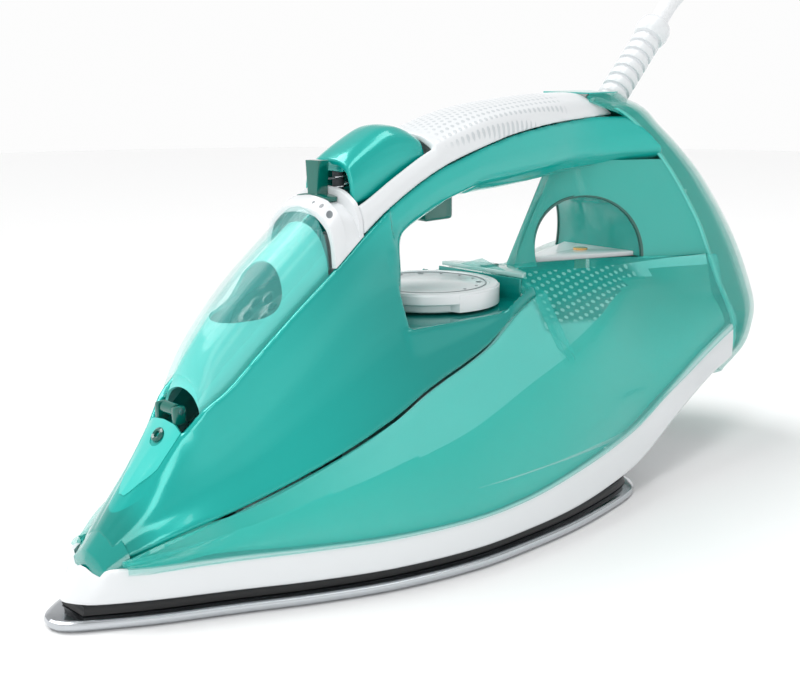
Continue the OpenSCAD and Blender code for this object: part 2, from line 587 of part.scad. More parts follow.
// ---- Dial and thermostat ----
module temperature_dial() {
    color("white") translate([dial_x, 0, deck_z + 0.9]) difference() {
        union() {
            translate([0, 0, dial_h - 5]) cylinder(r1 = dial_r, r2 = dial_r - 0.4, h = 4.1, $fn = 128);
            cylinder(r = dial_r - 3, h = dial_h - 4, $fn = 96);
            intersection() {
                cylinder(r = dial_r, h = dial_h - 4, $fn = 128);
                rotate([0, 0, -75]) translate([0, -15, 0]) cube([40, 30, 20]);
            }
        }
        translate([0, 0, -1]) cylinder(r = spindle_r, h = 4, $fn = 48);
    }
}
module spindle() {
    color("silver") translate([dial_x, 0, cover_top + thermostat_h])
        cylinder(r = spindle_r, h = deck_z + 3.9 - cover_top - thermostat_h, $fn = 48);
}
module spindle_sleeve() {
    color("white") translate([dial_x, 0, floor_z + floor_t]) difference() {
        cylinder(r = spindle_r + 3.4, h = deck_z - wall - 0.4 - floor_z - floor_t, $fn = 48);
        translate([0, 0, -1]) cylinder(r = spindle_r + bore_gap, h = 90, $fn = 48);
    }
}
module thermostat() {
    color("tan") translate([dial_x, 0, cover_top]) cylinder(r = 14, h = thermostat_h, $fn = 64);
}
module thermal_fuse() {
    color("ivory") translate([32 * kx, -8, casting_top + 3]) rotate([-90, 0, 0])
        cylinder(r = 3, h = 16, $fn = 32);
}
module dial_ledge() {
    a = apex(floor_level);
    color("paleturquoise") translate([0, 0, floor_level + 0.2]) linear_extrude(1.6)
        polygon([[ledge_x + 0.6, 21 * ky], [ledge_x + 5, 19 * ky], [a - 1.5, 4], [a - 1.5, -4],
            [ledge_x + 5, -19 * ky], [ledge_x + 0.6, -21 * ky]]);
}
module dial_pointer() {
    color("teal") translate([ledge_x + 2, -1.6, floor_level + 1.8]) cube([7, 3.2, 0.6]);
}

// ---- Rear pillar, heel and lamp ----
function pillar_plan(z, inset) = let (a = apex(z), f = heel(z, 1) - 1.2, h = pillar_half(f, z) - inset)
    [[f, h], [mix(a, f, 0.5), h * 0.5 + 0.6], [a + 3, 1.8], [a, 0]];
function plan_full(l) = concat(l, [for (i = [len(l) - 2:-1:0]) [l[i][0], -l[i][1]]]);
module rear_pillar() {
    color("turquoise", 0.6) difference() {
        loft([for (z = span(floor_level + 0.3, 118.5 * kz, 6)) let (l = plan_full(pillar_plan(z, 0)))
            [for (p = concat(l, back(aside(l, tank_wall)))) [p[0], p[1], z]]]);
        translate([arch_x, 100, arch_z]) rotate([90, 0, 0]) cylinder(r = arch_r, h = 200, $fn = 96);
    }
}
liner_back = heel(floor_level + 3, 1) - 5;
module pillar_liner() {
    a = apex(floor_level);
    h = pillar_half(liner_back, floor_level) - tank_wall - 1.5;
    color("white") difference() {
        union() {
            translate([0, 0, floor_level + 0.3]) linear_extrude(2)
                polygon([[a + 14, 1], [liner_back, h], [liner_back, -h], [a + 14, -1]]);
            translate([liner_back - 2, -h + 2, floor_level + 0.3]) cube([2, 2 * h - 4, 26 * kz]);
        }
        translate([80 * kx, 0, floor_level - 1]) cylinder(r = 3, h = 5, $fn = 32);
    }
}
module lamp_lens() {
    color("orange") translate([80 * kx, 0, floor_level + 0.3]) cylinder(r = 2.95, h = 2.6, $fn = 32);
}
module lamp() {
    color("orangered") translate([80 * kx, 0, floor_level - 12]) cylinder(r = 2.4, h = 12, $fn = 32);
}
function heel_plan(z) = let (f = heel(z, 1), h = heel(z, 2), b = heel(z, 3))
    [[f, h], [mix(f, b, 0.45), h + 0.4], [b - 9 * kx, h * 0.93], [b - 3.5 * kx, h * 0.75],
        [b - 0.6, h * 0.42], [b, 0]];
module heel_shell() {
    roof = 138 * kz;
    color("turquoise", 0.7) {
        loft([for (z = span(34.8 * kz, roof, 20)) let (l = plan_full(heel_plan(z)))
            [for (p = concat(l, back(aside(l, -heel_wall)))) [p[0], p[1], z]]]);
        loft([for (z = [31.5 * kz, 34.8 * kz - eps]) [for (p = plan_full(heel_plan(z))) [p[0], p[1], z]]]);
        difference() {
            loft([for (r = [[roof + eps, 0], [142 * kz, 0], [145 * kz, 0], [147.5 * kz, 1.4], [149.4 * kz, 4]])
                [for (p = plan_full(heel_plan(min(r[0], 147.5 * kz))))
                    [p[0] + (p[0] > ball_x - 6 ? -r[1] : 0), p[1] * (1 - r[1] / 24), r[0]]]]);
            boot_frame() {
                cylinder(r = 8.2, h = 40, $fn = 64);
                sphere(r = ball_r + 2.2 + slide_gap, $fn = 64);
            }
        }
    }
}
module terminal_block() {
    color("ivory") translate([111 * kx, -12, skirt_low(120 * kx) + wall + 3]) cube([15, 24, 10]);
}
block_z = skirt_low(120 * kx) + wall + 8;
module wires() {
    for (y = [-4, 0, 4]) color(y == 0 ? "yellow" : y > 0 ? "saddlebrown" : "royalblue") {
        tube(bend([[111.6 * kx, y, 124 * kz], [118 * kx, y, 119 * kz], [128 * kx, y, 104 * kz],
            [137 * kx, y, 86 * kz], [141 * kx, y, 68 * kz], [137 * kx, y, 54 * kz],
            [111 * kx + 15.2, y, block_z]], 3), 1.2, 6);
        tube(bend([[111 * kx - 0.3, y * 1.6, block_z], [98 * kx, y * 1.6, block_z - 2],
            [74 * kx, y * 1.6, 33 * kz], [56 * kx, y * 1.6, floor_z - 1.6], [48 * kx, y * 1.6, floor_z - 2.2]],
            3), 1.2, 6);
    }
}
module cord_clamp() {
    color("ivory") translate([101 * kx, -7, 121 * kz]) cube([10, 14, 6]);
}
module boot_frame() {
    translate([ball_x, 0, ball_z]) rotate([0, 45, 0]) children();
}
module boot_socket() {
    color("gray") boot_frame() difference() {
        sphere(r = ball_r + 2.2, $fn = 64);
        sphere(r = ball_r + bore_gap, $fn = 64);
        translate([0, 0, 14.5]) cube([60, 60, 20], center = true);
    }
}
module cord_boot() {
    color("whitesmoke") boot_frame() {
        sphere(r = ball_r, $fn = 64);
        rotate_extrude($fn = 64) polygon(concat([[0, 4], [5.6, 6], [5.6, 15]],
            [for (i = [0:6]) each [[6.1, 15.6 + i * 4.8], [6.1, 18.6 + i * 4.8], [4.9, 18.7 + i * 4.8],
                [4.9, 20.3 + i * 4.8]]],
            [[6.6, 49.5], [7.2, 52.5], [7, 55.5], [5.8, 58], [4.6, boot_l], [0, boot_l]]));
    }
}

// ---- Cord, coil and plug ----
coil_x = 250;
coil_y = -76;
coil_w = 3 * cord_d;
coil_h = 3 * cord_d;
exit_x = ball_x + boot_l * sin(45);
exit_z = ball_z + boot_l * cos(45);
ROUTE = [[exit_x, 0, exit_z], [136, 0, 185.5], [148, -1.5, 194], [163, -5, 200], [180, -11, 202.5],
    [196, -18, 201], [209, -24, 195], [217, -28, 184], [221, -30, 169], [222, -31, 148],
    [222, -31, 110], [222, -31, 72], [222, -30.5, 46], [224, -30, 28], [230, -29.8, 14.5],
    [239, -29.75, 6.5], [coil_x, coil_y + coil_r + cord_d, cord_d / 2]];
module cord_run() { color("white") tube(bend(ROUTE, 3), cord_d / 2, 10); }
module cord_coil() {
    color("white") translate([coil_x, coil_y, 0]) rotate_extrude($fn = 96)
        translate([coil_r - coil_w / 2, 0]) square([coil_w, coil_h]);
}
// The tail leaves the top turn, curls over the coil and enters the plug that lies on it
plug_r = 18.3;
plug_y = coil_y - 30;
plug_z = coil_h + plug_r + 0.2;
TAIL = [[coil_x + 33.1, coil_y, 18.75], [coil_x + 31.5, coil_y - 9, 21.5], [coil_x + 26.5, coil_y - 18.5, 28],
    [coil_x + 19, coil_y - 25.5, 34.5], [coil_x + 11, coil_y - 29, 39], [coil_x + 3.1, plug_y, plug_z]];
module cord_tail() { color("white") tube(bend(TAIL, 3), cord_d / 2, 8); }
tie_t = 1.3;
module coil_tie() {
    color("white") translate([coil_x - coil_r - coil_w / 2 - tie_t, coil_y - 4.5, 0]) difference() {
        cube([coil_w + 2 * tie_t, 9, coil_h + tie_t]);
        translate([tie_t, -1, -1]) cube([coil_w, 11, coil_h + 1]);
    }
}
module plug_body() {
    color("white") translate([coil_x + 3.1, plug_y, plug_z]) rotate([0, -90, 0])
        rotate_extrude($fn = 64) polygon([[0, 0], [5, 0], [6.5, 22], [13, 27], [plug_r, 36], [plug_r, 52],
            [plug_r - 1.8, 54], [0, 54]]);
}
module plug_pins() {
    color("silver") for (s = [-1, 1]) translate([coil_x + 3.1 - 54, plug_y + s * 9.5, plug_z])
        rotate([0, -90, 0]) {
            cylinder(r = 2.4, h = 17, $fn = 32);
            translate([0, 0, 17]) sphere(r = 2.4, $fn = 32);
        }
}
module screws() {
    color("silver") for (p = SCREW_SPOTS) translate([p[0], p[1], casting_top - 5]) {
        cylinder(r = screw_r - bore_gap, h = 5.4, $fn = 24);
        translate([0, 0, 5.2]) cylinder(r = 3.4, h = 2, $fn = 32);
    }
}

soleplate();
heater_casting();
heating_element();
chamber_gasket();
chamber_cover();
heat_shield();
skirt();
rear_base();
tank_shell();
tank_floor();
body_left();
body_right();
dial_deck();
post_back();
nozzle_panel();
spray_nozzle();
fill_door();
fill_door_pin();
fill_inlet();
handle_lower();
handle_cover();
slider_ring();
steam_slider();
valve_rod();
valve_seat();
spray_button();
spray_spring();
spray_pump();
spray_piston();
boost_trigger();
boost_spring();
boost_pump();
boost_piston();
spray_hose();
temperature_dial();
dial_ledge();
dial_pointer();
spindle();
spindle_sleeve();
thermostat();
thermal_fuse();
rear_pillar();
pillar_liner();
lamp_lens();
lamp();
heel_shell();
terminal_block();
wires();
cord_clamp();
boot_socket();
cord_boot();
cord_run();
cord_coil();
cord_tail();
coil_tie();
plug_body();
plug_pins();
screws();
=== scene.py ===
"""Steam iron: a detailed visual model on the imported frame. Shapes are given in millimetres and scaled."""

import math

import bmesh
import bpy
from mathutils import Matrix, Vector


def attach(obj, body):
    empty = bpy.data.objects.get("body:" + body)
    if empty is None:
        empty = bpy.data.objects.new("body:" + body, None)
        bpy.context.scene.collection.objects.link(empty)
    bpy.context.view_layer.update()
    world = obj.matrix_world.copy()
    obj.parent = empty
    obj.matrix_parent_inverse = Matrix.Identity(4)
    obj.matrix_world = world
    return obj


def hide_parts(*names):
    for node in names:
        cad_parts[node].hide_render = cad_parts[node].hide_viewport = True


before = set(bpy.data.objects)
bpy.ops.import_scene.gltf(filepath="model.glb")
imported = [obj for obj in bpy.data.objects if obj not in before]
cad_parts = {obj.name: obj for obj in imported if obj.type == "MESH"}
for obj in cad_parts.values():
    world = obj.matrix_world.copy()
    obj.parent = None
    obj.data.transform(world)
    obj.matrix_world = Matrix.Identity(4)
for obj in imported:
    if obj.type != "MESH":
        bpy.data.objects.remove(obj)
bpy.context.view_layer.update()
MM = 0.001

# ---- Curves of the object: a place along X, then the values there ----
SOLE = [(-164.5, 0.6), (-163.6, 4), (-160, 8), (-154, 12), (-140, 20.5), (-118, 31.5), (-96, 42.8),
        (-72, 52.6), (-42, 59.4), (-16, 60.5), (8, 59.7), (34, 56), (50, 52), (57, 47), (61.5, 38),
        (63.5, 20), (64, 0.6)]
SKIRT = [(-159, 3, 7.5, 8.5), (-154.5, 9.5, 7.5, 16.5), (-140, 19, 7.5, 17.5), (-118, 30, 7.3, 17.8),
         (-96, 41.3, 7.1, 17.6), (-72, 51.2, 7, 17.3), (-42, 58, 7, 17.2), (-16, 59.1, 7.2, 18.2),
         (8, 58.3, 7.8, 21), (34, 55, 9.5, 24), (57, 51.5, 13, 28), (84, 48.5, 24.5, 38),
         (100, 46.5, 30.5, 44), (117, 44, 35.5, 49), (133, 42, 39, 53.5)]
CREASE = [(-150, 9.5, 17.2), (-126, 22, 22), (-108, 31.5, 27), (-83, 42, 34), (-67, 46, 37.5),
          (-36, 48.5, 43), (-5, 46.5, 51.5), (27, 43, 60), (51, 38, 68), (75, 32, 76), (100, 33, 72),
          (128, 37.5, 66)]
JOINT = [(-150, 8, 17.6), (-135, 18, 25), (-108, 27, 32.5), (-83, 35.5, 42.5), (-60, 38, 51),
         (-44, 38, 58), (-14, 36, 67.5), (4, 32.5, 76), (18, 29, 80)]
FLANK = [(-150, 6, 19), (-135, 11.5, 32), (-120, 15, 41.5), (-108, 18, 49), (-97, 20.5, 57.5),
         (-84, 22.5, 67), (-73, 23, 76), (-60, 22.5, 86), (-42, 22, 92)]
BRIM = [(-150, 3.5, 20.5), (-135, 7, 36), (-122, 9.5, 52), (-115, 13, 60), (-108, 15, 65), (-97, 17, 75),
        (-82, 18, 87), (-67, 18, 97.5), (-54, 18.3, 107.5), (-40, 18.6, 116.5), (-20, 18, 126),
        (0, 18, 132), (21, 17, 136.5), (47, 15.5, 139.5), (74, 13, 141)]
CROWN = [(-150, 21.5), (-135, 38.5), (-124, 51), (-119.5, 60), (-111, 77), (-101, 88.5), (-89, 99.5),
         (-74, 111), (-62, 120), (-50, 124), (-36, 131), (-22, 137.5), (3, 145), (30, 148.5), (64, 150),
         (90, 148.5), (100, 145)]
GRIP_LOW = [(-44, 98), (-36, 102), (-30, 105.5), (-12, 112.5), (-2, 115), (20, 116), (41, 117.5),
            (58, 119.5), (76, 120.5), (98, 121)]
HEEL = [(32, 128, 36, 143), (42, 135, 40, 156.5), (52, 134.5, 41, 163), (59, 132, 40.5, 164.5),
        (71, 127, 37.5, 162.5), (84, 122.5, 34.5, 157.5), (96, 118, 32, 150.5), (108, 111, 29.3, 142),
        (118, 104, 27, 133.5), (129, 95, 24, 121.5), (137, 87, 22, 111), (143, 78, 20, 104),
        (147.5, 68, 14, 98)]
HOOD = [(-54.3, 131), (-51, 133.5), (-44, 137.5), (-36, 141), (-30, 141.3), (-25, 140), (-21.5, 138)]
ROUTE = [(127.72, 0, 177.22), (136, 0, 185.5), (148, -1.5, 194), (163, -5, 200), (180, -11, 202.5),
         (196, -18, 201), (209, -24, 195), (217, -28, 184), (221, -30, 169), (222, -31, 148),
         (222, -31, 110), (222, -31, 72), (222, -30.5, 46), (224, -30, 28), (230, -29.8, 14.5),
         (239, -29.75, 6.5), (250, -29.75, 3.75)]
TAIL = [(283.1, -76, 18.75), (281.5, -85, 21.5), (276.5, -94.5, 28), (269, -101.5, 34.5),
        (261, -105, 39), (253.1, -106, 41)]


# ---- Shape helpers ----
def at(table, x, k=1):
    """Column k at x, on a smooth curve through the rows."""
    if x <= table[0][0]:
        return table[0][k]
    if x >= table[-1][0]:
        return table[-1][k]
    i = max(j for j in range(len(table) - 1) if table[j][0] <= x)
    h = table[i + 1][0] - table[i][0]
    u = (x - table[i][0]) / h

    def slope(j):
        a, b = max(j - 1, 0), min(j + 1, len(table) - 1)
        return (table[b][k] - table[a][k]) / (table[b][0] - table[a][0]) * h

    return (table[i][k] * (1 + 2 * u) * (1 - u) ** 2 + slope(i) * u * (1 - u) ** 2
            + table[i + 1][k] * u * u * (3 - 2 * u) - slope(i + 1) * u * u * (1 - u))


def span(a, b, n):
    return [a + (b - a) * i / n for i in range(n + 1)]


def mix(p, q, u):
    return tuple(a + (b - a) * u for a, b in zip(p, q))


def plus(p, *d):
    return tuple(a + b for a, b in zip(p, d))


def spot(table, x):
    return at(table, x, 1), at(table, x, 2)


def aside(line, d):
    """Moves an open line sideways by d, to its left."""
    out = []
    for i, p in enumerate(line):
        a, b = line[max(i - 1, 0)], line[min(i + 1, len(line) - 1)]
        vx, vy = b[0] - a[0], b[1] - a[1]
        n = math.hypot(vx, vy) or 1
        out.append((p[0] - d * vy / n, p[1] + d * vx / n))
    return out


def both(half):
    """Full line from its half, whose last point lies in the middle plane."""
    return list(half) + [(-p[0], p[1]) for p in half[-2::-1]]


def soft(line, f=0.3, n=3):
    """Rounds the corners of an open line."""
    out = [line[0]]
    for a, p, b in zip(line, line[1:], line[2:]):
        q, r = mix(p, a, f), mix(p, b, f)
        out += [mix(mix(q, p, k / n), mix(p, r, k / n), k / n) for k in range(n + 1)]
    return out + [line[-1]]


def wall_ring(x, line, t):
    return [(x, p[0], p[1]) for p in list(line) + aside(line, t)[::-1]]


def turned(ring, s):
    return [(p[0], s * p[1], p[2]) for p in (ring if s > 0 else ring[::-1])]


def cap(n):
    out = []
    for j in range(math.ceil(n / 2) - 1):
        if j + 1 < n - 2 - j:
            out.append((j, j + 1, n - 2 - j))
        out.append((j, n - 2 - j, n - 1 - j))
    return out


def loft(rings):
    """Closed solid through rings of equal length."""
    n, m = len(rings[0]), len(rings)
    faces = [(i * n + j, i * n + (j + 1) % n, (i + 1) * n + (j + 1) % n, (i + 1) * n + j)
             for i in range(m - 1) for j in range(n)]
    ends = cap(n) + [tuple((m - 1) * n + k for k in t[::-1]) for t in cap(n)]
    return [p for r in rings for p in r], faces + ends


def grid(rows, close=False):
    """Open surface through rows of equal length."""
    n = len(rows[0])
    w = n if close else n - 1
    faces = [(i * n + j, i * n + (j + 1) % n, (i + 1) * n + (j + 1) % n, (i + 1) * n + j)
             for i in range(len(rows) - 1) for j in range(w)]
    return [p for r in rows for p in r], faces


def lathe(profile, n=96):
    """Solid of revolution about Z from (radius, height) points that start and end on the axis."""
    rows = [[(r * math.cos(2 * math.pi * j / n), r * math.sin(2 * math.pi * j / n), z) for j in range(n)]
            for r, z in profile]
    return grid(rows, True)


def box(x0, x1, y0, y1, z0, z1):
    return loft([[(x, y0, z0), (x, y1, z0), (x, y1, z1), (x, y0, z1)] for x in (x0, x1)])


def placed(part, matrix):
    return [tuple(matrix @ Vector(p)) for p in part[0]], part[1]


def mesh(name, *parts):
    """One mesh object from parts in millimetres, with its normals outwards."""
    verts, faces = [], []
    for v, f in parts:
        faces += [tuple(len(verts) + k for k in t) for t in f]
        verts += v
    me = bpy.data.meshes.new(name)
    me.from_pydata([[c * MM for c in p] for p in verts], [], faces)
    ob = bpy.data.objects.new(name, me)
    bpy.context.scene.collection.objects.link(ob)
    tidy(ob)
    return ob


def tidy(ob, gap=1e-6):
    bm = bmesh.new()
    bm.from_mesh(ob.data)
    bmesh.ops.remove_doubles(bm, verts=bm.verts, dist=gap)
    bmesh.ops.dissolve_degenerate(bm, edges=bm.edges, dist=gap)
    bmesh.ops.recalc_face_normals(bm, faces=bm.faces)
    bm.to_mesh(ob.data)
    bm.free()


def add(ob, kind, **values):
    m = ob.modifiers.new(kind.lower(), kind)
    for key, value in values.items():
        setattr(m, key, value)
    return m


def bake(ob, angle=32):
    """Applies the modifiers and shades the mesh smooth up to an angle."""
    bpy.context.view_layer.update()
    me = bpy.data.meshes.new_from_object(ob.evaluated_get(bpy.context.evaluated_depsgraph_get()))
    ob.modifiers.clear()
    ob.data = me
    me.shade_smooth()
    me.set_sharp_from_angle(angle=math.radians(angle))
    return ob


def fused(ob, voxel, rounds=8):
    """Joins overlapping solids into one skin with small fillets."""
    add(ob, "REMESH", mode="VOXEL", voxel_size=voxel * MM, use_smooth_shade=True)
    add(ob, "SMOOTH", factor=0.5, iterations=rounds)
    return bake(ob, 60)


def bevelled(ob, width=0.35, angle=32):
    add(ob, "BEVEL", width=width * MM, segments=2, limit_method="ANGLE", angle_limit=math.radians(30))
    return bake(ob, angle)


def walled(ob, t, bevel=0.0):
    add(ob, "SOLIDIFY", thickness=t * MM, offset=-1, use_even_offset=True)
    if bevel:
        add(ob, "BEVEL", width=bevel * MM, segments=2, limit_method="ANGLE", angle_limit=math.radians(40))
    return bake(ob)


def cut(ob, *parts):
    """Cuts closed parts out of a mesh."""
    tool = mesh("tool", *parts)
    add(ob, "BOOLEAN", operation="DIFFERENCE", solver="EXACT", object=tool, use_self=True)
    bake(ob)
    bpy.data.objects.remove(tool)
    return ob


def copy_of(node, name, bevel=0.25):
    """A bevelled and smoothly shaded copy of a CAD node."""
    ob = bpy.data.objects.new(name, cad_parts[node].data.copy())
    bpy.context.scene.collection.objects.link(ob)
    ob.data.materials.clear()
    tidy(ob, 2e-6)
    return bevelled(ob, bevel) if bevel else bake(ob)


def piece(ob, body, material, slot, *nodes):
    ob.data.materials.clear()
    for m in material if isinstance(material, (list, tuple)) else [material]:
        ob.data.materials.append(m)
    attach(ob, body)
    if nodes:
        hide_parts(*nodes)
    return ob


# ---- Materials ----
def linear(r, g, b):
    return tuple((c / 255 / 12.92) if c <= 10 else ((c / 255 + 0.055) / 1.055) ** 2.4
                 for c in (r, g, b)) + (1,)


class Look:
    """A principled material with its own grain in colour, roughness and bump."""

    def __init__(self, name, color, rough=0.3, metal=0.0, coat=0.0, alpha=1.0, grain=900, depth=0.02,
                 vary=0.05, spread=0.05, stretch=(1, 1, 1)):
        self.material = bpy.data.materials.new(name)
        self.material.use_nodes = True
        self.tree = self.material.node_tree
        self.shader = self.tree.nodes["Principled BSDF"]
        self.shader.inputs["Metallic"].default_value = metal
        self.shader.inputs["Coat Weight"].default_value = coat
        self.shader.inputs["Coat Roughness"].default_value = 0.03
        self.shader.inputs["Alpha"].default_value = alpha
        self.place = self.make("ShaderNodeTexCoord").outputs["Object"]
        scaled = self.make("ShaderNodeVectorMath", operation="MULTIPLY")
        scaled.inputs[1].default_value = stretch
        self.link(self.place, scaled.inputs[0])
        fine = self.noise(grain, scaled.outputs[0])
        broad = self.noise(28, scaled.outputs[0])
        shade = tuple(c * (1 - vary) for c in linear(*color)[:3]) + (1,)
        self.color = self.blend(broad, linear(*color), shade)
        self.link(self.color, self.shader.inputs["Base Color"])
        spread_node = self.make("ShaderNodeMapRange")
        spread_node.inputs["To Min"].default_value = max(rough - spread, 0.02)
        spread_node.inputs["To Max"].default_value = rough + spread
        self.link(fine, spread_node.inputs["Value"])
        self.link(spread_node.outputs[0], self.shader.inputs["Roughness"])
        self.bump(fine, depth)

    def make(self, kind, **values):
        n = self.tree.nodes.new(kind)
        for key, value in values.items():
            setattr(n, key, value)
        return n

    def link(self, a, b):
        self.tree.links.new(a, b)

    def noise(self, scale, vector):
        n = self.make("ShaderNodeTexNoise")
        n.inputs["Scale"].default_value = scale
        n.inputs["Detail"].default_value = 2
        self.link(vector, n.inputs["Vector"])
        return n.outputs[0]

    def math(self, operation, *values):
        n = self.make("ShaderNodeMath", operation=operation)
        for i, v in enumerate(values):
            if isinstance(v, (int, float)):
                n.inputs[i].default_value = v
            else:
                self.link(v, n.inputs[i])
        return n.outputs[0]

    def axis(self, k):
        n = self.make("ShaderNodeSeparateXYZ")
        self.link(self.place, n.inputs[0])
        return n.outputs[k]

    def ramp(self, value, low, high):
        """0 below low, 1 above high."""
        n = self.make("ShaderNodeMapRange", interpolation_type="SMOOTHSTEP")
        n.inputs["From Min"].default_value = low
        n.inputs["From Max"].default_value = high
        self.link(value, n.inputs["Value"])
        return n.outputs[0]

    def blend(self, factor, a, b):
        n = self.make("ShaderNodeMix", data_type="RGBA")
        self.link(factor, n.inputs["Factor"])
        for value, socket in ((a, n.inputs[6]), (b, n.inputs[7])):
            if isinstance(value, tuple):
                socket.default_value = value
            else:
                self.link(value, socket)
        return n.outputs[2]

    def bump(self, height, depth):
        n = self.make("ShaderNodeBump")
        n.inputs["Strength"].default_value = 1
        n.inputs["Distance"].default_value = depth * MM
        self.link(height, n.inputs["Height"])
        if self.shader.inputs["Normal"].links:
            self.link(self.shader.inputs["Normal"].links[0].from_socket, n.inputs["Normal"])
        self.link(n.outputs[0], self.shader.inputs["Normal"])

    def paint(self, factor, color):
        self.color = self.blend(factor, self.color, linear(*color))
        self.link(self.color, self.shader.inputs["Base Color"])

    def dots(self, pitch, radius, axes):
        """1 inside round dots on a staggered grid along two axes."""
        step = self.math("FLOOR", self.math("DIVIDE", self.axis(axes[1]), pitch))
        u = self.math("ADD", self.math("DIVIDE", self.axis(axes[0]), pitch),
                      self.math("MULTIPLY", step, 0.5))
        u = self.math("SUBTRACT", self.math("FRACT", u), 0.5)
        v = self.math("SUBTRACT", self.math("FRACT", self.math("DIVIDE", self.axis(axes[1]), pitch)), 0.5)
        d = self.math("SQRT", self.math("ADD", self.math("MULTIPLY", u, u), self.math("MULTIPLY", v, v)))
        return self.math("SUBTRACT", 1, self.ramp(d, radius * 0.75, radius))


white = Look("white plastic", (230, 233, 235), rough=0.24, coat=0.25, depth=0.004, vary=0.02)
grip = Look("white grip", (229, 232, 234), rough=0.3, coat=0.15, depth=0.004, vary=0.02)
spots = grip.math("MULTIPLY", grip.dots(0.0026, 0.3, (0, 1)),
                  grip.math("MULTIPLY", grip.ramp(grip.axis(0), -0.02, -0.012),
                            grip.math("SUBTRACT", 1, grip.ramp(grip.axis(0), 0.046, 0.054))))
spots = grip.math("MULTIPLY", spots, grip.ramp(grip.axis(2), 0.1325, 0.1365))
grip.paint(grip.math("MULTIPLY", spots, 0.5), (176, 186, 190))
grip.bump(spots, 0.12)
teal = Look("teal lacquer", (0, 182, 172), rough=0.2, metal=0.25, coat=0.6, depth=0.002, vary=0.08)
rise = teal.math("MULTIPLY", teal.math("MULTIPLY", teal.axis(1), teal.axis(1)), 90)
nose_dark = teal.math("MULTIPLY",
                      teal.math("SUBTRACT", 1,
                                teal.ramp(teal.math("SUBTRACT", teal.axis(2), rise), 0.0305, 0.031)),
                      teal.math("SUBTRACT", 1, teal.ramp(teal.axis(0), -0.143, -0.133)))
# Painted shade: the body turns darker teal towards the back and below the handle.
teal.paint(teal.math("MULTIPLY", 0.7, teal.math("MULTIPLY", teal.ramp(teal.axis(0), -0.1, -0.035),
                                                 teal.math("SUBTRACT", 1,
                                                           teal.ramp(teal.axis(2), 0.095, 0.115)))),
           (0, 142, 134))
teal.paint(nose_dark, (0, 146, 136))
ring_look = Look("white ring", (230, 233, 235), rough=0.24, coat=0.25, depth=0.004, vary=0.02)
for y, r in ((-0.0045, 0.0006), (-0.0085, 0.0009), (-0.0125, 0.0012)):
    dx = ring_look.math("SUBTRACT", ring_look.axis(0), -0.0646)
    dy = ring_look.math("SUBTRACT", ring_look.axis(1), y)
    far = ring_look.math("SQRT", ring_look.math("ADD", ring_look.math("MULTIPLY", dx, dx),
                                                ring_look.math("MULTIPLY", dy, dy)))
    ring_look.paint(ring_look.math("SUBTRACT", 1, ring_look.ramp(far, r * 0.8, r)), (110, 118, 122))
inlet_look = Look("filler plastic", (0, 66, 56), rough=0.2, coat=0.5, depth=0.01)
panel_look = Look("nose panel plastic", (60, 206, 196), rough=0.14, coat=0.8, depth=0.003)
teal_dark = Look("dark teal plastic", (0, 104, 92), rough=0.16, coat=0.6, depth=0.004)
tank = Look("tinted clear plastic", (60, 214, 202), rough=0.06, coat=0.8, alpha=0.3, depth=0.003,
            spread=0.02)
# Painted shade: the tank's lower facet is a shaded copy of the tank plastic, painted darker still towards
# the back and the crease.
tank_shaded_facet = Look("tank lower facet painted shade", (72, 206, 194), rough=0.3, coat=0.5, depth=0.01, vary=0.08)
tank_shaded_facet.paint(tank_shaded_facet.math("MULTIPLY", tank_shaded_facet.ramp(tank_shaded_facet.axis(0), 0.03, 0.085),
                             tank_shaded_facet.ramp(tank_shaded_facet.axis(2), 0.045, 0.075)), (10, 138, 118))
# Painted highlight: the tank's upper facet is a lit copy of the tank plastic, and the painted highlight
# fades to darker teal towards the front. The dark film with white dots on it is print.
tank_lit_facet_and_film = Look("tank upper facet painted highlight", (164, 242, 238), rough=0.22, coat=0.7, depth=0.01, vary=0.12)
tank_lit_facet_and_film.paint(tank_lit_facet_and_film.ramp(tank_lit_facet_and_film.axis(0), -0.06, -0.115), (60, 186, 174))
film = tank_lit_facet_and_film.math("MULTIPLY", tank_lit_facet_and_film.ramp(tank_lit_facet_and_film.axis(2), 0.0655, 0.0675),
                      tank_lit_facet_and_film.ramp(tank_lit_facet_and_film.axis(0), 0.016, 0.021))
film = tank_lit_facet_and_film.math("MULTIPLY", film, tank_lit_facet_and_film.math("SUBTRACT", 1,
                                                       tank_lit_facet_and_film.ramp(tank_lit_facet_and_film.axis(0), 0.082, 0.09)))
tank_lit_facet_and_film.paint(film, (0, 74, 62))
tank_lit_facet_and_film.paint(tank_lit_facet_and_film.math("MULTIPLY", film, tank_lit_facet_and_film.dots(0.0032, 0.3, (0, 1))), (225, 245, 242))
milky = Look("milky teal plastic", (58, 196, 184), rough=0.1, coat=0.7, alpha=0.72, depth=0.003, spread=0.03)
heel_clear = Look("heel clear plastic", (24, 192, 178), rough=0.08, coat=0.8, alpha=0.42, depth=0.003,
                  spread=0.03)
heel_dark = Look("heel core", (4, 134, 118), rough=0.24, coat=0.5, depth=0.01, vary=0.12)
band = heel_dark.math("SUBTRACT", heel_dark.axis(0), heel_dark.math("MULTIPLY", heel_dark.axis(2), -0.62))
band = heel_dark.math("MULTIPLY", heel_dark.ramp(band, 0.1925, 0.1965),
                      heel_dark.math("SUBTRACT", 1, heel_dark.ramp(heel_dark.axis(2), 0.1, 0.13)))
heel_dark.paint(band, (96, 206, 194))
lip_look = Look("heel lip plastic", (92, 208, 198), rough=0.1, coat=0.8, depth=0.003)
tip_look = Look("tank tip plastic", (0, 148, 138), rough=0.12, coat=0.8, depth=0.003)
rim_dark = Look("dark green rim", (4, 92, 82), rough=0.12, coat=0.8, depth=0.003)
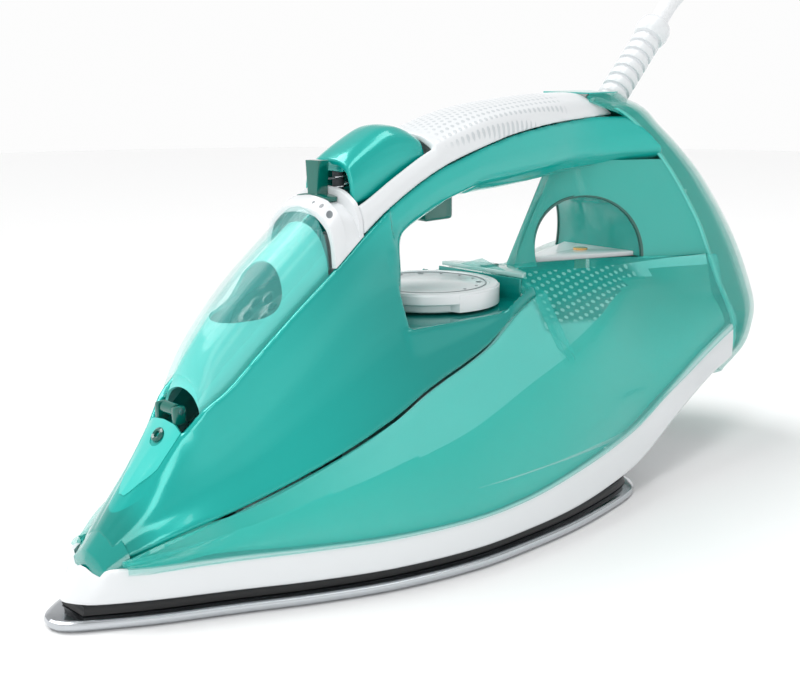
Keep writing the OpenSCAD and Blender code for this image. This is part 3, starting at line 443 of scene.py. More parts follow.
window = Look("window plastic", (120, 232, 226), rough=0.05, coat=1.0, alpha=0.2, depth=0.002, spread=0.02)
lining = Look("nose lining", (110, 226, 218), rough=0.25, coat=0.5, depth=0.01, vary=0.1)
ledge_clear = Look("ledge plastic", (206, 240, 236), rough=0.08, coat=0.8, alpha=0.7, depth=0.003,
                   spread=0.03)
amber = Look("amber lens", (236, 176, 92), rough=0.12, coat=0.8, depth=0.005)
black = Look("black plastic", (20, 22, 24), rough=0.42, grain=1400, depth=0.01)
chrome = Look("sole steel", (196, 200, 204), rough=0.16, metal=1.0, grain=700, depth=0.004, vary=0.04,
              stretch=(0.06, 1, 1))
steel = Look("steel", (186, 190, 194), rough=0.24, metal=1.0, grain=900, depth=0.004)
cast = Look("cast aluminium", (150, 152, 156), rough=0.5, metal=0.9, grain=500, depth=0.05, vary=0.15)
element = Look("element steel", (96, 96, 100), rough=0.4, metal=0.9, grain=700, depth=0.02, vary=0.15)
gasket = Look("silicone rubber", (196, 84, 48), rough=0.6, grain=600, depth=0.02, vary=0.1)
ivory = Look("ivory nylon", (232, 224, 200), rough=0.4, grain=700, depth=0.02)
ceramic = Look("ceramic", (206, 186, 156), rough=0.55, grain=600, depth=0.03, vary=0.1)
rubber = Look("valve rubber", (84, 88, 92), rough=0.6, grain=700, depth=0.02)
wire = Look("wire sleeve", (196, 160, 96), rough=0.4, grain=800, depth=0.02, vary=0.2)
mark = Look("grey print", (126, 134, 138), rough=0.4, depth=0.004)
cloth = Look("cord jacket", (238, 240, 242), rough=0.55, grain=1500, depth=0.05, vary=0.06)
braid = cloth.make("ShaderNodeTexVoronoi", distance="CHEBYCHEV")
braid.inputs["Scale"].default_value = 900
cloth.link(cloth.place, braid.inputs["Vector"])
cloth.bump(braid.outputs["Distance"], 0.25)
floor_look = Look("floor", (250, 250, 250), rough=0.6, grain=60, depth=0.0, vary=0.004)


# ---- Camera ----
camera = bpy.data.objects.new("camera", bpy.data.cameras.new("camera"))
bpy.context.scene.collection.objects.link(camera)
bpy.context.scene.camera = camera
camera.data.sensor_width = 36
camera.data.lens = 56.04
camera.data.shift_x = -0.0313
camera.data.shift_y = 0.0009
camera.location = (-0.3212, -0.3179, 0.1654)
aim = Vector((-0.0095, 0, 0.060)) - camera.location
camera.rotation_euler = aim.to_track_quat("-Z", "Y").to_euler()


# ---- Cord ----
def bend(points, n):
    """Smooth route through given points."""
    out = []
    for i in range(len(points) - 1):
        a, b, c = Vector(points[max(i - 1, 0)]), Vector(points[i]), Vector(points[i + 1])
        e = Vector(points[min(i + 2, len(points) - 1)])
        for u in [j / n for j in range(n)]:
            out.append(0.5 * (2 * b + (c - a) * u + (2 * a - 5 * b + 4 * c - e) * u * u
                              + (3 * b - a - 3 * c + e) * u ** 3))
    return out + [Vector(points[-1])]


def winding():
    """The coil: layers of turns a diameter apart, wound in, out and in again."""
    out, angle = [], 90
    for turn, r0, r1, z0, z1 in ((720, 46.25, 31.25, 3.75, 3.75), (90, 31.25, 31.25, 3.75, 11.25),
                                 (720, 31.25, 46.25, 11.25, 11.25), (90, 46.25, 46.25, 11.25, 18.75),
                                 (630, 46.25, 33.1, 18.75, 18.75)):
        steps = turn // 18
        for k in range(1, steps + 1):
            a, u = math.radians(angle - turn * k / steps), k / steps
            rise = u * u * (3 - 2 * u)
            r = r0 + (r1 - r0) * u
            out.append(Vector((250 + r * math.cos(a), -76 + r * math.sin(a), z0 + (z1 - z0) * rise)))
        angle -= turn
    return out


path = bend(ROUTE, 2) + winding() + bend(TAIL, 3)[1:]
cord_curve = bpy.data.curves.new("mains_cord", "CURVE")
cord_curve.dimensions = "3D"
cord_curve.bevel_depth = 3.75 * MM
cord_curve.bevel_resolution = 6
cord_curve.resolution_u = 6
spline = cord_curve.splines.new("BEZIER")
spline.bezier_points.add(len(path) - 1)
for point, p in zip(spline.bezier_points, path):
    point.co = p * MM
    point.handle_left_type = point.handle_right_type = "AUTO"
cord = bpy.data.objects.new("mains_cord", cord_curve)
bpy.context.scene.collection.objects.link(cord)
piece(cord, "iron", cloth.material, "cord_white", "cord_run", "cord_coil", "cord_tail")

flat_x = Matrix.Rotation(math.radians(-90), 4, "Y")
plug_place = Matrix.Translation((253.1, -106, 41)) @ flat_x
plug = mesh("mains_plug", placed(lathe(
    [(0, 0), (4.2, 0), (5, 0.8), (5.2, 4), (5, 5), (5.4, 6), (5.6, 9), (5.2, 10), (5.8, 11), (6.1, 15),
     (5.8, 16), (6.4, 17), (7.2, 22), (9.5, 25), (13, 27.4), (16, 31), (17.8, 34.5), (18.3, 37),
     (18.3, 50), (17.9, 52.4),
     (16.8, 53.7), (15.5, 54), (0, 54)]), plug_place))
bevelled(plug, 0.2)
piece(plug, "iron", white.material, "white", "plug_body")
pins = mesh("plug_pin_pair", *[placed(lathe([(0, 0), (2.4, 0), (2.4, 17), (2.2, 18.2), (1.4, 19.2),
                                             (0, 19.4)], 32),
            Matrix.Translation((199.1, -106 + s * 9.5, 41)) @ flat_x) for s in (-1, 1)])
piece(bake(pins), "iron", steel.material, "steel", "plug_pins")
tie = piece(copy_of("coil_tie", "coil_strap", 0.4), "iron", white.material, "white", "coil_tie")

# The boot leaves the heel on a ball and carries short ribs
boot_profile = [(0, 4), (5.2, 6), (5.5, 7), (5.6, 15)]
for i in range(7):
    z = 15.6 + 4.8 * i
    boot_profile += [(5.95, z), (6.1, z + 0.4), (6.1, z + 2.6), (5.95, z + 3), (4.95, z + 3.1),
                     (4.85, z + 3.9), (4.95, z + 4.7)]
boot_profile += [(6.3, 49.6), (6.9, 51), (7.2, 53), (7, 55.5), (6.3, 57.4), (5.2, 58.6), (4.4, 59), (0, 59)]
boot_place = Matrix.Translation((86, 0, 135.5)) @ Matrix.Rotation(math.radians(45), 4, "Y")
ball = [(9 * math.sin(math.radians(a)), -9 * math.cos(math.radians(a))) for a in range(0, 181, 6)]
boot = mesh("strain_relief", placed(lathe(boot_profile, 64), boot_place),
            placed(lathe(ball, 64), boot_place))
piece(bake(boot, 40), "iron", white.material, "white", "cord_boot")


# ---- Soleplate, shield and skirt ----
def plan(half, xs):
    """Closed outline in plan from half widths."""
    return [(x, half(x)) for x in xs] + [(x, -half(x)) for x in reversed(xs)]


def grown(outline, d):
    """Closed outline moved outwards by d (inwards when negative)."""
    n = len(outline)
    out = []
    for i, p in enumerate(outline):
        a, b = outline[i - 1], outline[(i + 1) % n]
        vx, vy = b[0] - a[0], b[1] - a[1]
        size = math.hypot(vx, vy) or 1
        out.append((p[0] + d * -vy / size, p[1] + d * vx / size))
    return out


def slab(outline, profile):
    """Solid plate whose edge follows (inset, height) steps."""
    rings = [[(x, y, z) for x, y in grown(outline, -inset)] for inset, z in profile]
    verts, faces = grid(rings, True)
    n = len(outline)
    return verts, faces + cap(n) + [tuple(len(verts) - n + k for k in t) for t in cap(n)]


sole_xs = [-164.5 + 4 * (k / 12) ** 2 for k in range(12)] + span(-160, 50, 90) + \
          [64 - 14 * (1 - k / 24) ** 2 for k in range(1, 25)]
sole_plan = plan(lambda x: at(SOLE, x), sole_xs)
sole = mesh("sole_plate", slab(sole_plan, [(2.2, 0.0), (0.9, 0.25), (0.25, 0.8), (0, 1.5), (0, 2.1),
                                           (0.25, 2.9), (0.9, 3.3), (2.2, 3.5)]))
holes = [(x, s * (at(SOLE, x) - 7)) for x in range(-140, 37, 16) for s in (-1, 1)] + \
        [(x, 0) for x in range(-128, -79, 16)]
cut(sole, *[placed(lathe([(0, -1), (1.1, -1), (1.1, 3.2), (0, 3.2)], 20), Matrix.Translation((x, y, 0)))
            for x, y in holes])
piece(sole, "iron", chrome.material, "sole_steel", "soleplate")
shield_plan = plan(lambda x: max(at(SOLE, x) - 4.2, 0.3), span(-156.5, 59.5, 110))
shield = mesh("shield_band", slab(shield_plan, [(0.4, 3.5), (0, 3.9), (0.5, 4.6), (0.5, 6.2), (0.2, 6.9)]))
piece(bake(shield, 50), "iron", black.material, "black", "heat_shield")

skirt_xs = span(132, 60, 20) + span(56, -140, 60) + [-144, -148, -151, -154, -156, -158]
skirt_line = [(x, at(SKIRT, x)) for x in skirt_xs]
skirt_line += [(-159.3, 1.6), (-159.5, 0), (-159.3, -1.6)] + [(x, -y) for x, y in skirt_line[::-1]]


def skirt_ring(k):
    x = skirt_line[k][0]
    low, high = max(at(SKIRT, x, 2), 6.9), at(SKIRT, x, 3)
    high = max(high, low + 0.8)
    tip = max(0.0, min(1.0, (-150 - x) / 9.5))
    room = min(1.0, (abs(skirt_line[k][1]) + 0.8) / 14)
    out = []
    for inset, u in ((2.2, 0), (0.7, 0), (0.15, 0.05), (0, 0.14), (0, 0.5), (0.15, 0.8), (0.4, 0.94),
                     (0.8, 1), (2.2, 1)):
        px, py = aside(skirt_line, inset * room)[k]
        out.append((px + tip * 7.2 * u, py, low + (max(high, low + tip * 9) - low) * u))
    return out


skirt = mesh("skirt_band", loft([skirt_ring(k) for k in range(len(skirt_line))]))
piece(bake(skirt, 50), "iron", white.material, "white", "skirt")
piece(copy_of("rear_base", "under_base", 0.5), "iron", white.material, "white", "rear_base")


# ---- Tank ----
def apex(z):
    return 38.5 + (z - 92) * 0.62


def pillar_half(x, z):
    a = apex(z)
    return max(0.0, (x - a) / (at(HEEL, z) - a)) * at(HEEL, z, 2)


def tank_top(x):
    if x < 19.51:
        return plus(spot(JOINT, x), 0.5, -0.8)
    return (0.0, 84.0) if x < apex(84) + 0.01 else (max(pillar_half(x, 84), 0.2), 84.0)


def tank_line(x, inset=0.0):
    s = (at(SKIRT, x) - 1.6, at(SKIRT, x, 3) - 0.2)
    c, top = spot(CREASE, x), tank_top(x)
    b = plus(mix(s, c, 0.5), 1.4, 0)
    low = [s, plus(mix(s, b, 0.5), 0.5, 0), b, plus(mix(b, c, 0.6), 0.3, 0), c]
    line = soft(low, 0.3, 2)[:-1] + soft([mix(b, c, 0.8), c, mix(c, top, 0.5)], 0.35, 4)[1:-1] + \
        [mix(c, top, 0.5), mix(c, top, 0.75), top]
    return aside(line, min(inset, 0.3 * line[0][0])) if inset else line


def tank_rows(side, inset=0.0):
    rows = [[(x, side * y, z) for y, z in tank_line(x, inset)]
            for x in span(-145.5, 19.5, 70) + span(19.55, 33.5, 8)]
    a = apex(84)
    for u in span(0.01, 1, 40):
        x = a + (130 - a) * u
        rows.append([(a + u * (at(HEEL, z) - 0.9 - inset - a), side * y, z) for y, z in tank_line(x, inset)])
    return rows


shell = mesh("tank_clear_shell", *[grid(tank_rows(s)) for s in (1, -1)])
piece(walled(shell, 1.8), "iron", tank.material, "clear_teal", "tank_shell")
liner = mesh("tank_body", *[grid(tank_rows(s, 2.6)) for s in (1, -1)])
bake(liner)
piece(liner, "iron", [tank_shaded_facet.material, tank_lit_facet_and_film.material], "teal")
# Faces above the crease take the painted highlight copy, faces below it the painted shade copy.
for f in liner.data.polygons:
    c = f.center / MM
    f.material_index = 1 if c.z > at(CREASE, min(c.x, 75), 2) - 0.8 + (0.2 if c.x < 75 else 3) else 0


# Solid tip of the tank under the body's nose
def tip_ring(x):
    u = max(x, -150)
    gone = (-150 - x) / 1.5 if x < -150 else 0
    f, g = math.sqrt(max(1 - gone, 0.02)), 1 - 0.7 * gone ** 1.6
    w = at(SKIRT, u) - 3.2
    joint = spot(JOINT, u)
    half = [(w, 14.2), (w, 16.4), (min(joint[0], w), joint[1]), spot(FLANK, u), spot(BRIM, u),
            (0, at(CROWN, u))]
    line = aside(soft(both(half), 0.3, 2), 0.15)
    return [(x, y * f, z if z < 16.5 else 16.5 + (z - 16.5) * g) for y, z in line]


nose_tip = mesh("tank_tip", loft([tip_ring(x) for x in
                                  [-151.45, -151.3, -151, -150.6, -150.3] + span(-150, -143.5, 10)]))
piece(bake(nose_tip, 50), "iron", tip_look.material, "teal")


# ---- Opaque body: nose sides, post, deck and the handle's lower half as one moulding ----
def body_line(x):
    j, f, b = spot(JOINT, x), spot(FLANK, x), spot(BRIM, x)
    return [j, plus(mix(j, f, 0.5), -1.5, 0), f, plus(mix(f, b, 0.5), 0.4, 0), b]


def deck_edge(x):
    j, f = spot(JOINT, x), spot(FLANK, x)
    e = max(76, j[1] + 0.8)
    u = (e - j[1]) / (f[1] - j[1])
    return j[0] + (f[0] - j[0]) * u, e


def under_line(x):
    b, g, f = spot(BRIM, x), at(GRIP_LOW, x), max(0, (x - 50) / 46)
    t = min(b[0], 18) + f * f * 7
    w = t + f * f * 8
    return [(t - 0.6, b[1] - 0.2), ((t + w) / 2, b[1] + (g - b[1]) * 0.35),
            (w * 0.94, b[1] + (g - b[1]) * 0.72),
            (w * 0.62, b[1] + (g - b[1]) * 0.96), (0, g)]


def leaning(ring, x0, u):
    return [(x0 + u * (at(HEEL, p[2]) + 1.2 - x0), p[1], p[2]) for p in ring]


def under_ring(x):
    return wall_ring(x, soft(both(under_line(x)), 0.3, 2)[::-1], 2.6)


body_parts = []
for s in (1, -1):
    body_parts.append(loft([turned(wall_ring(x, soft(body_line(x), 0.22, 2),
                                             min(2.6, 0.42 * at(BRIM, x))), s)
                            for x in span(-146.5, -43.5, 80)]))
    deck = [x for x in span(-46, 19.2, 30)]
    body_parts.append(loft([turned(wall_ring(x, [spot(JOINT, x),
                                                 plus(mix(spot(JOINT, x), deck_edge(x), 0.5), -1, 0),
                                                 deck_edge(x)], 2.6), s) for x in deck]))
body_parts.append(loft([[(x, -deck_edge(x)[0] + 1, 73.4), (x, deck_edge(x)[0] - 1, 73.4),
                         (x, deck_edge(x)[0] - 1, 76), (x, -deck_edge(x)[0] + 1, 76)] for x in deck]))
body_parts.append(loft([wall_ring(x, both([plus(spot(BRIM, x), 0, -0.4),
                                           (at(BRIM, x) * 0.6, at(CROWN, x) - 0.6), (0, at(CROWN, x))]), 2.0)
                        for x in span(-146.5, -121.7, 24)]))
POST = [(73, 8.4, 22), (96, 8.4, 22), (100, 8.9, 21.4), (103, 10.9, 20.4), (105.5, 13.9, 19.4),
        (109, 21.9, 17.6)]
post = []
for z in span(74, 96, 4) + span(97, 109, 12):
    a, b = at(POST, z), at(POST, z, 2)
    post.append([(-43.9 + a * math.cos(g), b * math.sin(g), z) for g in span(-math.pi / 2, math.pi / 2, 32)]
                + [(-46, b, z), (-46, -b, z)])
body_parts.append(loft(post))
body_parts.append(loft([under_ring(x) for x in span(-46, -15.35, 16)]))
body_parts.append(loft([under_ring(x) for x in span(-0.65, 54, 24)]
                       + [leaning(under_ring(54 + 44 * u), 54, u) for u in span(0.06, 1, 16)]))
for s in (1, -1):
    rail = []
    for x in (-16, 0):
        line = under_line(x)
        e = (6.95, line[3][1] + (line[4][1] - line[3][1]) * 0.4)
        rail.append(turned(wall_ring(x, [line[0], line[1], line[2], e], -2.6), s))
    body_parts.append(loft(rail))
def lid_ring(x):
    b, f = spot(BRIM, x), max(0, (x - 50) / 46)
    t = min(b[0], 18) + 7 * f * f - 0.8
    return [(x, -t, b[1] - 2.4), (x, t, b[1] - 2.4), (x, t, b[1] - 0.3), (x, -t, b[1] - 0.3)]


body_parts.append(loft([lid_ring(x) for x in span(44, 54, 4)] + [leaning(lid_ring(54 + 44 * u), 54, u)
                                                                  for u in span(0.06, 1, 16)]))
body = fused(mesh("body_moulding", *body_parts), 0.66, 12)
cut(body, placed(lathe([(0, 70), (3.4, 70), (3.4, 80), (0, 80)], 48), Matrix.Translation((-8, 0, 0))))
piece(body, "iron", teal.material, "teal", "body_left", "body_right", "dial_deck", "post_back",
      "handle_lower")


# ---- Nose: lining, window, panel, nozzle and inlet ----
def window_line(x, inset=0.0, drop=0.0):
    b, c = plus(spot(BRIM, x), -2.9 - inset, -drop), at(CROWN, x) - drop
    return soft(both([b, (b[0] * 0.92, b[1] + (c - b[1]) * 0.45), (b[0] * 0.68, b[1] + (c - b[1]) * 0.78),
                      (b[0] * 0.35, b[1] + (c - b[1]) * 0.95), (0, c)]), 0.3, 2)


glass = mesh("nose_window", grid([[(x, y, z) for y, z in window_line(x)] for x in span(-115.5, -67.1, 40)]))
piece(walled(glass, 1.6, 0.3), "door", window.material, "clear", "fill_door")
nose = mesh("nose_lining", grid([[(x, y, z) for y, z in window_line(x, 0.2, 5)]
                                 for x in span(-115, -67.1, 34)]))
cut(walled(nose, 0.8), placed(lathe([(0, -30), (13, -30), (13, 20), (0, 20)], 48),
                              Matrix.Translation((-84, 0, 84)) @ Matrix.Rotation(math.radians(-45), 4, "Y")))
piece(nose, "iron", lining.material, "teal")
knuckle = mesh("flap_knuckle", placed(lathe([(0, -3.2), (1.7, -3.2), (2, -2.9), (2, 2.9), (1.7, 3.2),
                                             (0, 3.2)], 32),
               Matrix.Translation((-119, 0, 58.5)) @ Matrix.Rotation(math.radians(90), 4, "X")))
piece(bake(knuckle), "door", teal_dark.material, "clear")
piece(copy_of("fill_inlet", "filler_grid", 0.35), "iron", inlet_look.material, "dark_teal", "fill_inlet")
def shield_row(x):
    b, c, z0 = at(BRIM, x), at(CROWN, x), at(BRIM, x, 2)
    w = 0.9 * b * min(1.0, math.sqrt((x + 138.4) / 9))

    def rise(y):
        y = abs(y)
        return (c - 0.6 * y / (0.6 * b) if y < 0.6 * b
                else c - 0.6 - (c - 0.6 - z0 + 0.4) * (y - 0.6 * b) / (0.4 * b))

    return [(x, y, rise(y) + 0.4) for y in span(w, -w, 14)]


panel = mesh("nozzle_shield", grid([shield_row(x) for x in span(-138, -121.7, 30)]))
cut(walled(panel, 0.9), placed(lathe([(0, -8), (3.1, -8), (3.1, 8), (0, 8)], 48),
                               Matrix.Translation((-124.6, 0, 50.6))
                               @ Matrix.Rotation(math.radians(-50), 4, "Y")))
lugs = mesh("hinge_lugs", *[box(-121.4, -117.2, y - 1, y + 1, 54.2, 60.2) for y in (-4.6, 4.6)])
piece(bevelled(lugs, 0.8), "iron", teal_dark.material, "dark_teal")
piece(panel, "iron", panel_look.material, "dark_teal", "nozzle_panel")
nozzle = mesh("spray_jet", placed(lathe([(0, -10), (2.5, -10), (2.5, 0), (2.3, 0.7), (1.7, 1), (1.1, 0.8),
                                         (0.8, 0), (0.8, -1), (0, -1)], 48),
              Matrix.Translation((-124, 0, 51)) @ Matrix.Rotation(math.radians(-50), 4, "Y")))
piece(bake(nozzle), "iron", rim_dark.material, "dark_teal", "spray_nozzle")


# ---- Handle cover, ring, slider, hood and trigger ----
def cover_line(x, drop=0.0):
    b, c = spot(BRIM, x), at(CROWN, x) - drop
    y, h = min(b[0], 18), at(CROWN, x) - drop - b[1]
    return [(y, b[1] + 0.3), (y * 0.97, b[1] + h * 0.4), (y * 0.84, b[1] + h * 0.7),
            (y * 0.5, b[1] + h * 0.94),
            (0, c)]


def cheek_line(x):
    b, c = spot(BRIM, x), at(CROWN, x)
    y = min(b[0], 18)
    return [(y, b[1] + 0.3), (y * 0.98, b[1] + (c - b[1]) * 0.35), (14.9, b[1] + (c - b[1]) * 0.62)]


def cover_ring(x):
    return wall_ring(x, soft(both(cover_line(x)), 0.3, 2), 2.4)


cover_parts = [loft([cover_ring(x) for x in span(-20, 46, 36)]
                    + [leaning(cover_ring(46 + 28 * u), 46, u) for u in span(0.08, 1, 12)])]
for s in (1, -1):
    cover_parts.append(loft([turned(wall_ring(x, soft(cheek_line(x), 0.3, 2), 1.8), s)
                             for x in span(-54.5, -19, 20)]))
cover = fused(mesh("handle_top", *cover_parts), 0.6, 5)
piece(cover, "iron", grip.material, "white", "handle_cover")


def band_ring(x, drop):
    line, groove = cover_line(x), cover_line(-62.2)
    if drop:
        line = [line[0]] + [(p[0], p[1] - drop) for p in groove[1:]]
    return wall_ring(x, soft(both(line), 0.3, 2), 2)


band_part = loft([band_ring(x, d) for x, d in ((-66.8, 0), (-64.5, 0), (-62.2, 0), (-62.18, 1.6),
                                               (-56.42, 1.6), (-56.4, 0), (-54.9, 0))])
piece(bevelled(mesh("selector_ring", band_part), 0.3), "iron", ring_look.material, "white", "slider_ring")
piece(copy_of("steam_slider", "steam_lever", 0.5), "slider", teal_dark.material, "dark_teal", "steam_slider")


def hood_ring(x, t):
    top, low = at(HOOD, x), at(CROWN, -54.6) - 6 + (x + 54.6) * 0.25
    w = 12.45
    return wall_ring(x, soft(both([(w, low), (w * 0.98, low + (top - low) * 0.45),
                                   (w * 0.82, low + (top - low) * 0.8),
                                   (w * 0.45, low + (top - low) * 0.97), (0, top)]), 0.3, 2), t)


hood = mesh("spray_hood", loft([hood_ring(x, 2) for x in span(-54.2, -21.2, 30)]),
            box(-52.5, -45, -5, 5, at(HOOD, -50) - 7.5, at(HOOD, -50) - 2.6))
piece(fused(hood, 0.45, 4), "spray", teal.material, "teal", "spray_button")
piece(copy_of("boost_trigger", "boost_key", 1.4), "trigger", teal_dark.material, "dark_teal",
      "boost_trigger")

# ---- Dial ----
dial_place = Matrix.Translation((-8, 0, 76.9))
wedge = Matrix.Rotation(math.radians(-75), 4, "Z")
sector = [(26 * math.cos(a), 26 * math.sin(a)) for a in span(-0.6, 0.6, 30)]
sector = [(10, -14.7)] + [p for p in sector] + [(10, 14.7)]
dial = mesh("dial_knob", placed(lathe([(0, 0), (22.5, 0), (23, 0.5), (23, 3)], 128), dial_place),
            placed(lathe([(0, 3), (25.3, 3), (25.9, 3.4), (26, 4.2), (25.9, 6.2), (25.3, 7), (24.4, 7.1),
                          (22.6, 7.1),
                          (22.2, 6.8), (13, 6.8), (12.5, 7.0), (0, 7.1)], 128), dial_place),
            placed(loft([[(x, y, z) for x, y in sector] for z in (0.3, 0.6, 3.6, 6.4)]), dial_place @ wedge))
bake(dial, 25)
piece(dial, "dial", white.material, "white", "temperature_dial")
marks = []
for k in range(11):
    a = math.radians(150 - 24 * k)
    r, n = 18.6, 1 + (k % 4 == 0)
    marks += [placed(lathe([(0, 0), (0.55 * n, 0), (0.55 * n, 0.15), (0, 0.15)], 20),
                     dial_place @ Matrix.Translation((r * math.cos(a), r * math.sin(a), 6.8)))]
ring = [(21.3, 6.82), (21.3, 7.0), (20.9, 7.0), (20.9, 6.82)]
marks.append(placed(grid([[(r * math.cos(a), r * math.sin(a), z) for r, z in ring]
                          for a in span(0, 2 * math.pi, 128)], True), dial_place))
piece(bake(mesh("dial_marks", *marks)), "dial", mark.material, "black")
riser = mesh("ledge_riser", box(18.5, 19.4, -21, 21, 75.4, 84.1))
piece(bevelled(riser, 0.25), "iron", teal.material, "teal")
piece(copy_of("dial_ledge", "pointer_ledge", 0.4), "iron", ledge_clear.material, "clear", "dial_ledge")
piece(copy_of("dial_pointer", "pointer_mark", 0.15), "iron", teal_dark.material, "dark_teal", "dial_pointer")


# ---- Rear pillar with its arch ----
def pillar_plan(z):
    a, f = apex(z), at(HEEL, z) - 1.2
    h = pillar_half(f, z)
    half = [(f, h), ((a + f) / 2, h * 0.5 + 0.6), (a + 3, 1.8), (a, 0)]
    return half + [(x, -y) for x, y in half[-2::-1]]


rings = []
for z in span(83.7, 123.4, 28):
    line = soft(pillar_plan(z), 0.25, 4)
    rings.append([(p[0], p[1], z) for p in line + aside(line, 2.4)[::-1]])
pillar = mesh("rear_pillar_shell", loft(rings))
tunnel = Matrix.Translation((69, 0, 87)) @ Matrix.Rotation(math.radians(90), 4, "X")
cut(pillar, placed(lathe([(0, -60), (23, -60), (23, 60), (0, 60)], 128), tunnel))
piece(pillar, "iron", milky.material, "clear_teal", "rear_pillar")
arch = [math.radians(a) for a in span(-6, 186, 64)]


def arch_point(a, r):
    x, z = 69 + r * math.cos(a), max(87 + r * math.sin(a), 84.4)
    return x, pillar_half(x, z), z


rims = []
for s in (1, -1):
    rows = []
    for a in arch:
        x, y, z = arch_point(a, 23)
        rows.append([(x + 0.9 * math.cos(t) * math.cos(a), s * (y - 0.4) + 0.9 * math.sin(t),
                      z + 0.9 * math.cos(t) * math.sin(a)) for t in span(0, 2 * math.pi, 12)[:-1]])
    rims.append(loft(rows))
piece(bake(mesh("arch_rims", *rims), 60), "iron", rim_dark.material, "dark_teal")
web = mesh("arch_duct", grid([[(arch_point(a, 23.3)[0], v * max(arch_point(a, 23.3)[1] - 0.6, 0.3),
                                arch_point(a, 23.3)[2])
                               for v in span(-1, 1, 6)] for a in arch]))
piece(walled(web, 0.8), "iron", milky.material, "clear_teal")
piece(copy_of("pillar_liner", "pillar_tray", 0.5), "iron", white.material, "white", "pillar_liner")
piece(copy_of("lamp_lens", "lamp_window", 0.4), "iron", amber.material, "amber", "lamp_lens")


# ---- Heel ----
def heel_plan(z, inset=0.0):
    f, h, b = at(HEEL, z) + inset, at(HEEL, z, 2) - inset, at(HEEL, z, 3) - inset
    half = [(f, h), (f + (b - f) * 0.45, h + 0.4), (b - 9, h * 0.93), (b - 3.5, h * 0.75),
            (b - 0.6, h * 0.42), (b, 0)]
    return soft(half + [(x, -y) for x, y in half[-2::-1]], 0.3, 2)


def heel_rings(zs, inset=0.0):
    return [[(x, y, z) for x, y in heel_plan(z, inset)] for z in zs]


def roof_ring(z, d):
    return [(x - (d if x > 80 else 0), y * (1 - d / 24), z) for x, y in heel_plan(min(z, 147.5))]


roof = [(z, 0) for z in span(31.5, 145, 70)] + [(146.2, 0.6), (147.5, 1.4), (148.6, 2.6), (149.4, 4)]
heel_skin = mesh("heel_clear_shell", grid([roof_ring(z, d) for z, d in roof]))
cap_ring = roof_ring(149.4, 4)
piece(walled(heel_skin, 1.8), "iron", heel_clear.material, "clear_teal", "heel_shell")
core_zs = span(33, 145.5, 60)
core = mesh("heel_core", loft(heel_rings(core_zs, 3.2)))
piece(bake(core, 45), "iron", heel_dark.material, "teal")
lid = mesh("heel_roof", loft([[(x, y * 0.985, z + lift) for x, y, z in cap_ring] for lift in (0, 0.5)]))
cut(lid, placed(lathe([(0, -30), (8.4, -30), (8.4, 60), (0, 60)], 48), boot_place))
piece(lid, "iron", teal.material, "teal")
collar = mesh("boot_collar", placed(lathe([(7.2, 9.6), (8.8, 9.6), (9.2, 10.4), (9, 11.2), (7.6, 11.6),
                                           (7.2, 11)], 64),
                                    boot_place))
piece(bake(collar), "iron", teal_dark.material, "dark_teal")

lips = []
for s in (1, -1):
    rows = []
    for z in span(33, 144, 60):
        f, h = at(HEEL, z), at(HEEL, z, 2)
        rows.append([(f + 0.5 + 1.5 * math.cos(t), s * (h - 0.9 + 0.9 * math.sin(t)), z)
                     for t in span(0, 2 * math.pi, 12)[:-1]])
    lips.append(loft(rows))
piece(bake(mesh("heel_lip", *lips), 60), "iron", lip_look.material, "teal")

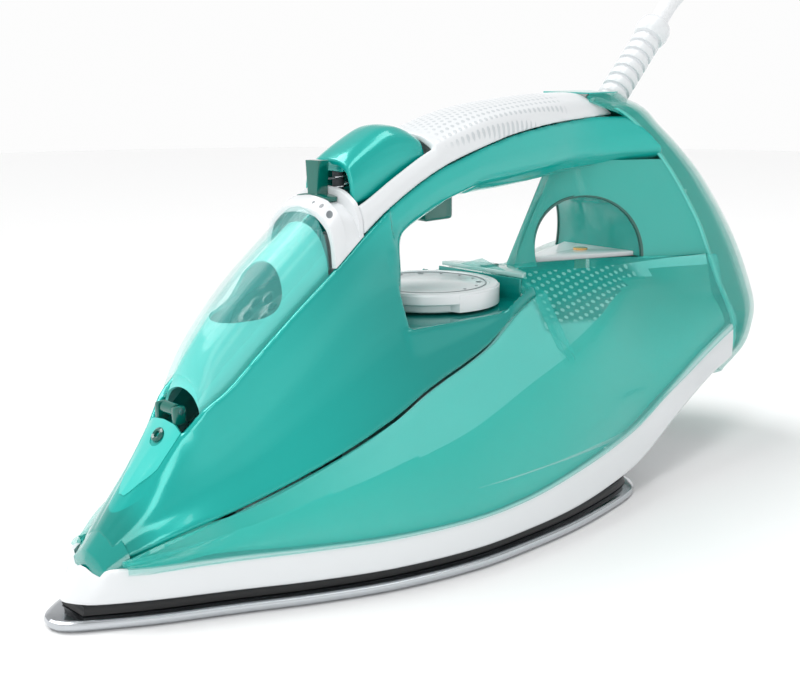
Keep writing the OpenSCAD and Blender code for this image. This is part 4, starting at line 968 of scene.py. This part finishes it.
# ---- CAD pieces that stay, each with its own material ----
KEPT = {
    cast: ["heater_casting"],
    element: ["heating_element"],
    gasket: ["chamber_gasket"],
    steel: ["chamber_cover", "fill_door_pin", "spray_spring", "boost_spring", "spindle", "screws",
            "valve_rod"],
    white: ["tank_floor", "spindle_sleeve", "spray_pump", "boost_pump", "spray_hose", "cord_clamp"],
    rubber: ["valve_seat", "spray_piston", "boost_piston", "boot_socket"],
    ceramic: ["thermostat"],
    ivory: ["thermal_fuse", "terminal_block"],
    amber: ["lamp"],
    wire: ["wires"],
}
for kept_look, names in KEPT.items():
    for name in names:
        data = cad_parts[name].data
        for k in range(max(len(data.materials), 1)):
            if data.materials:
                data.materials[k] = kept_look.material
            else:
                data.materials.append(kept_look.material)

# ---- Floor and light ----
floor = mesh("floor", ([(1800 * math.cos(a), 1800 * math.sin(a), 0) for a in span(0, 2 * math.pi, 96)[:-1]],
                       [tuple(range(96))]))
floor.data.materials.append(floor_look.material)
floor.location.z = -0.0002

# White round the horizon, softer overhead
world = bpy.data.worlds.new("studio")
bpy.context.scene.world = world
world.use_nodes = True
sky = world.node_tree
direction = sky.nodes.new("ShaderNodeTexCoord")
height = sky.nodes.new("ShaderNodeSeparateXYZ")
fade = sky.nodes.new("ShaderNodeMapRange")
fade.inputs["From Min"].default_value = 0.12
fade.inputs["From Max"].default_value = 0.5
fade.inputs["To Min"].default_value = 0.98
fade.inputs["To Max"].default_value = 0.5
sky.links.new(direction.outputs["Generated"], height.inputs[0])
sky.links.new(height.outputs[2], fade.inputs["Value"])
sky.links.new(fade.outputs[0], sky.nodes["Background"].inputs["Strength"])
sky.nodes["Background"].inputs["Color"].default_value = (1, 1, 1, 1)


def light(name, kind, place, energy, **values):
    data = bpy.data.lights.new(name, kind)
    data.energy = energy
    for key, value in values.items():
        setattr(data, key, value)
    ob = bpy.data.objects.new(name, data)
    ob.location = place
    ob.rotation_euler = (Vector((0, 0, 0.07)) - Vector(place)).to_track_quat("-Z", "Y").to_euler()
    bpy.context.scene.collection.objects.link(ob)


light("sun", "SUN", (-0.45, 0.85, 1.5), 1.7, angle=math.radians(38))
light("front", "AREA", (-0.9, -0.5, 0.75), 2.6, shape="RECTANGLE", size=0.35, size_y=0.9)
light("top", "AREA", (0.05, -0.15, 0.9), 1.8, shape="RECTANGLE", size=1.0, size_y=0.22)
bpy.context.scene.view_settings.view_transform = "Standard"
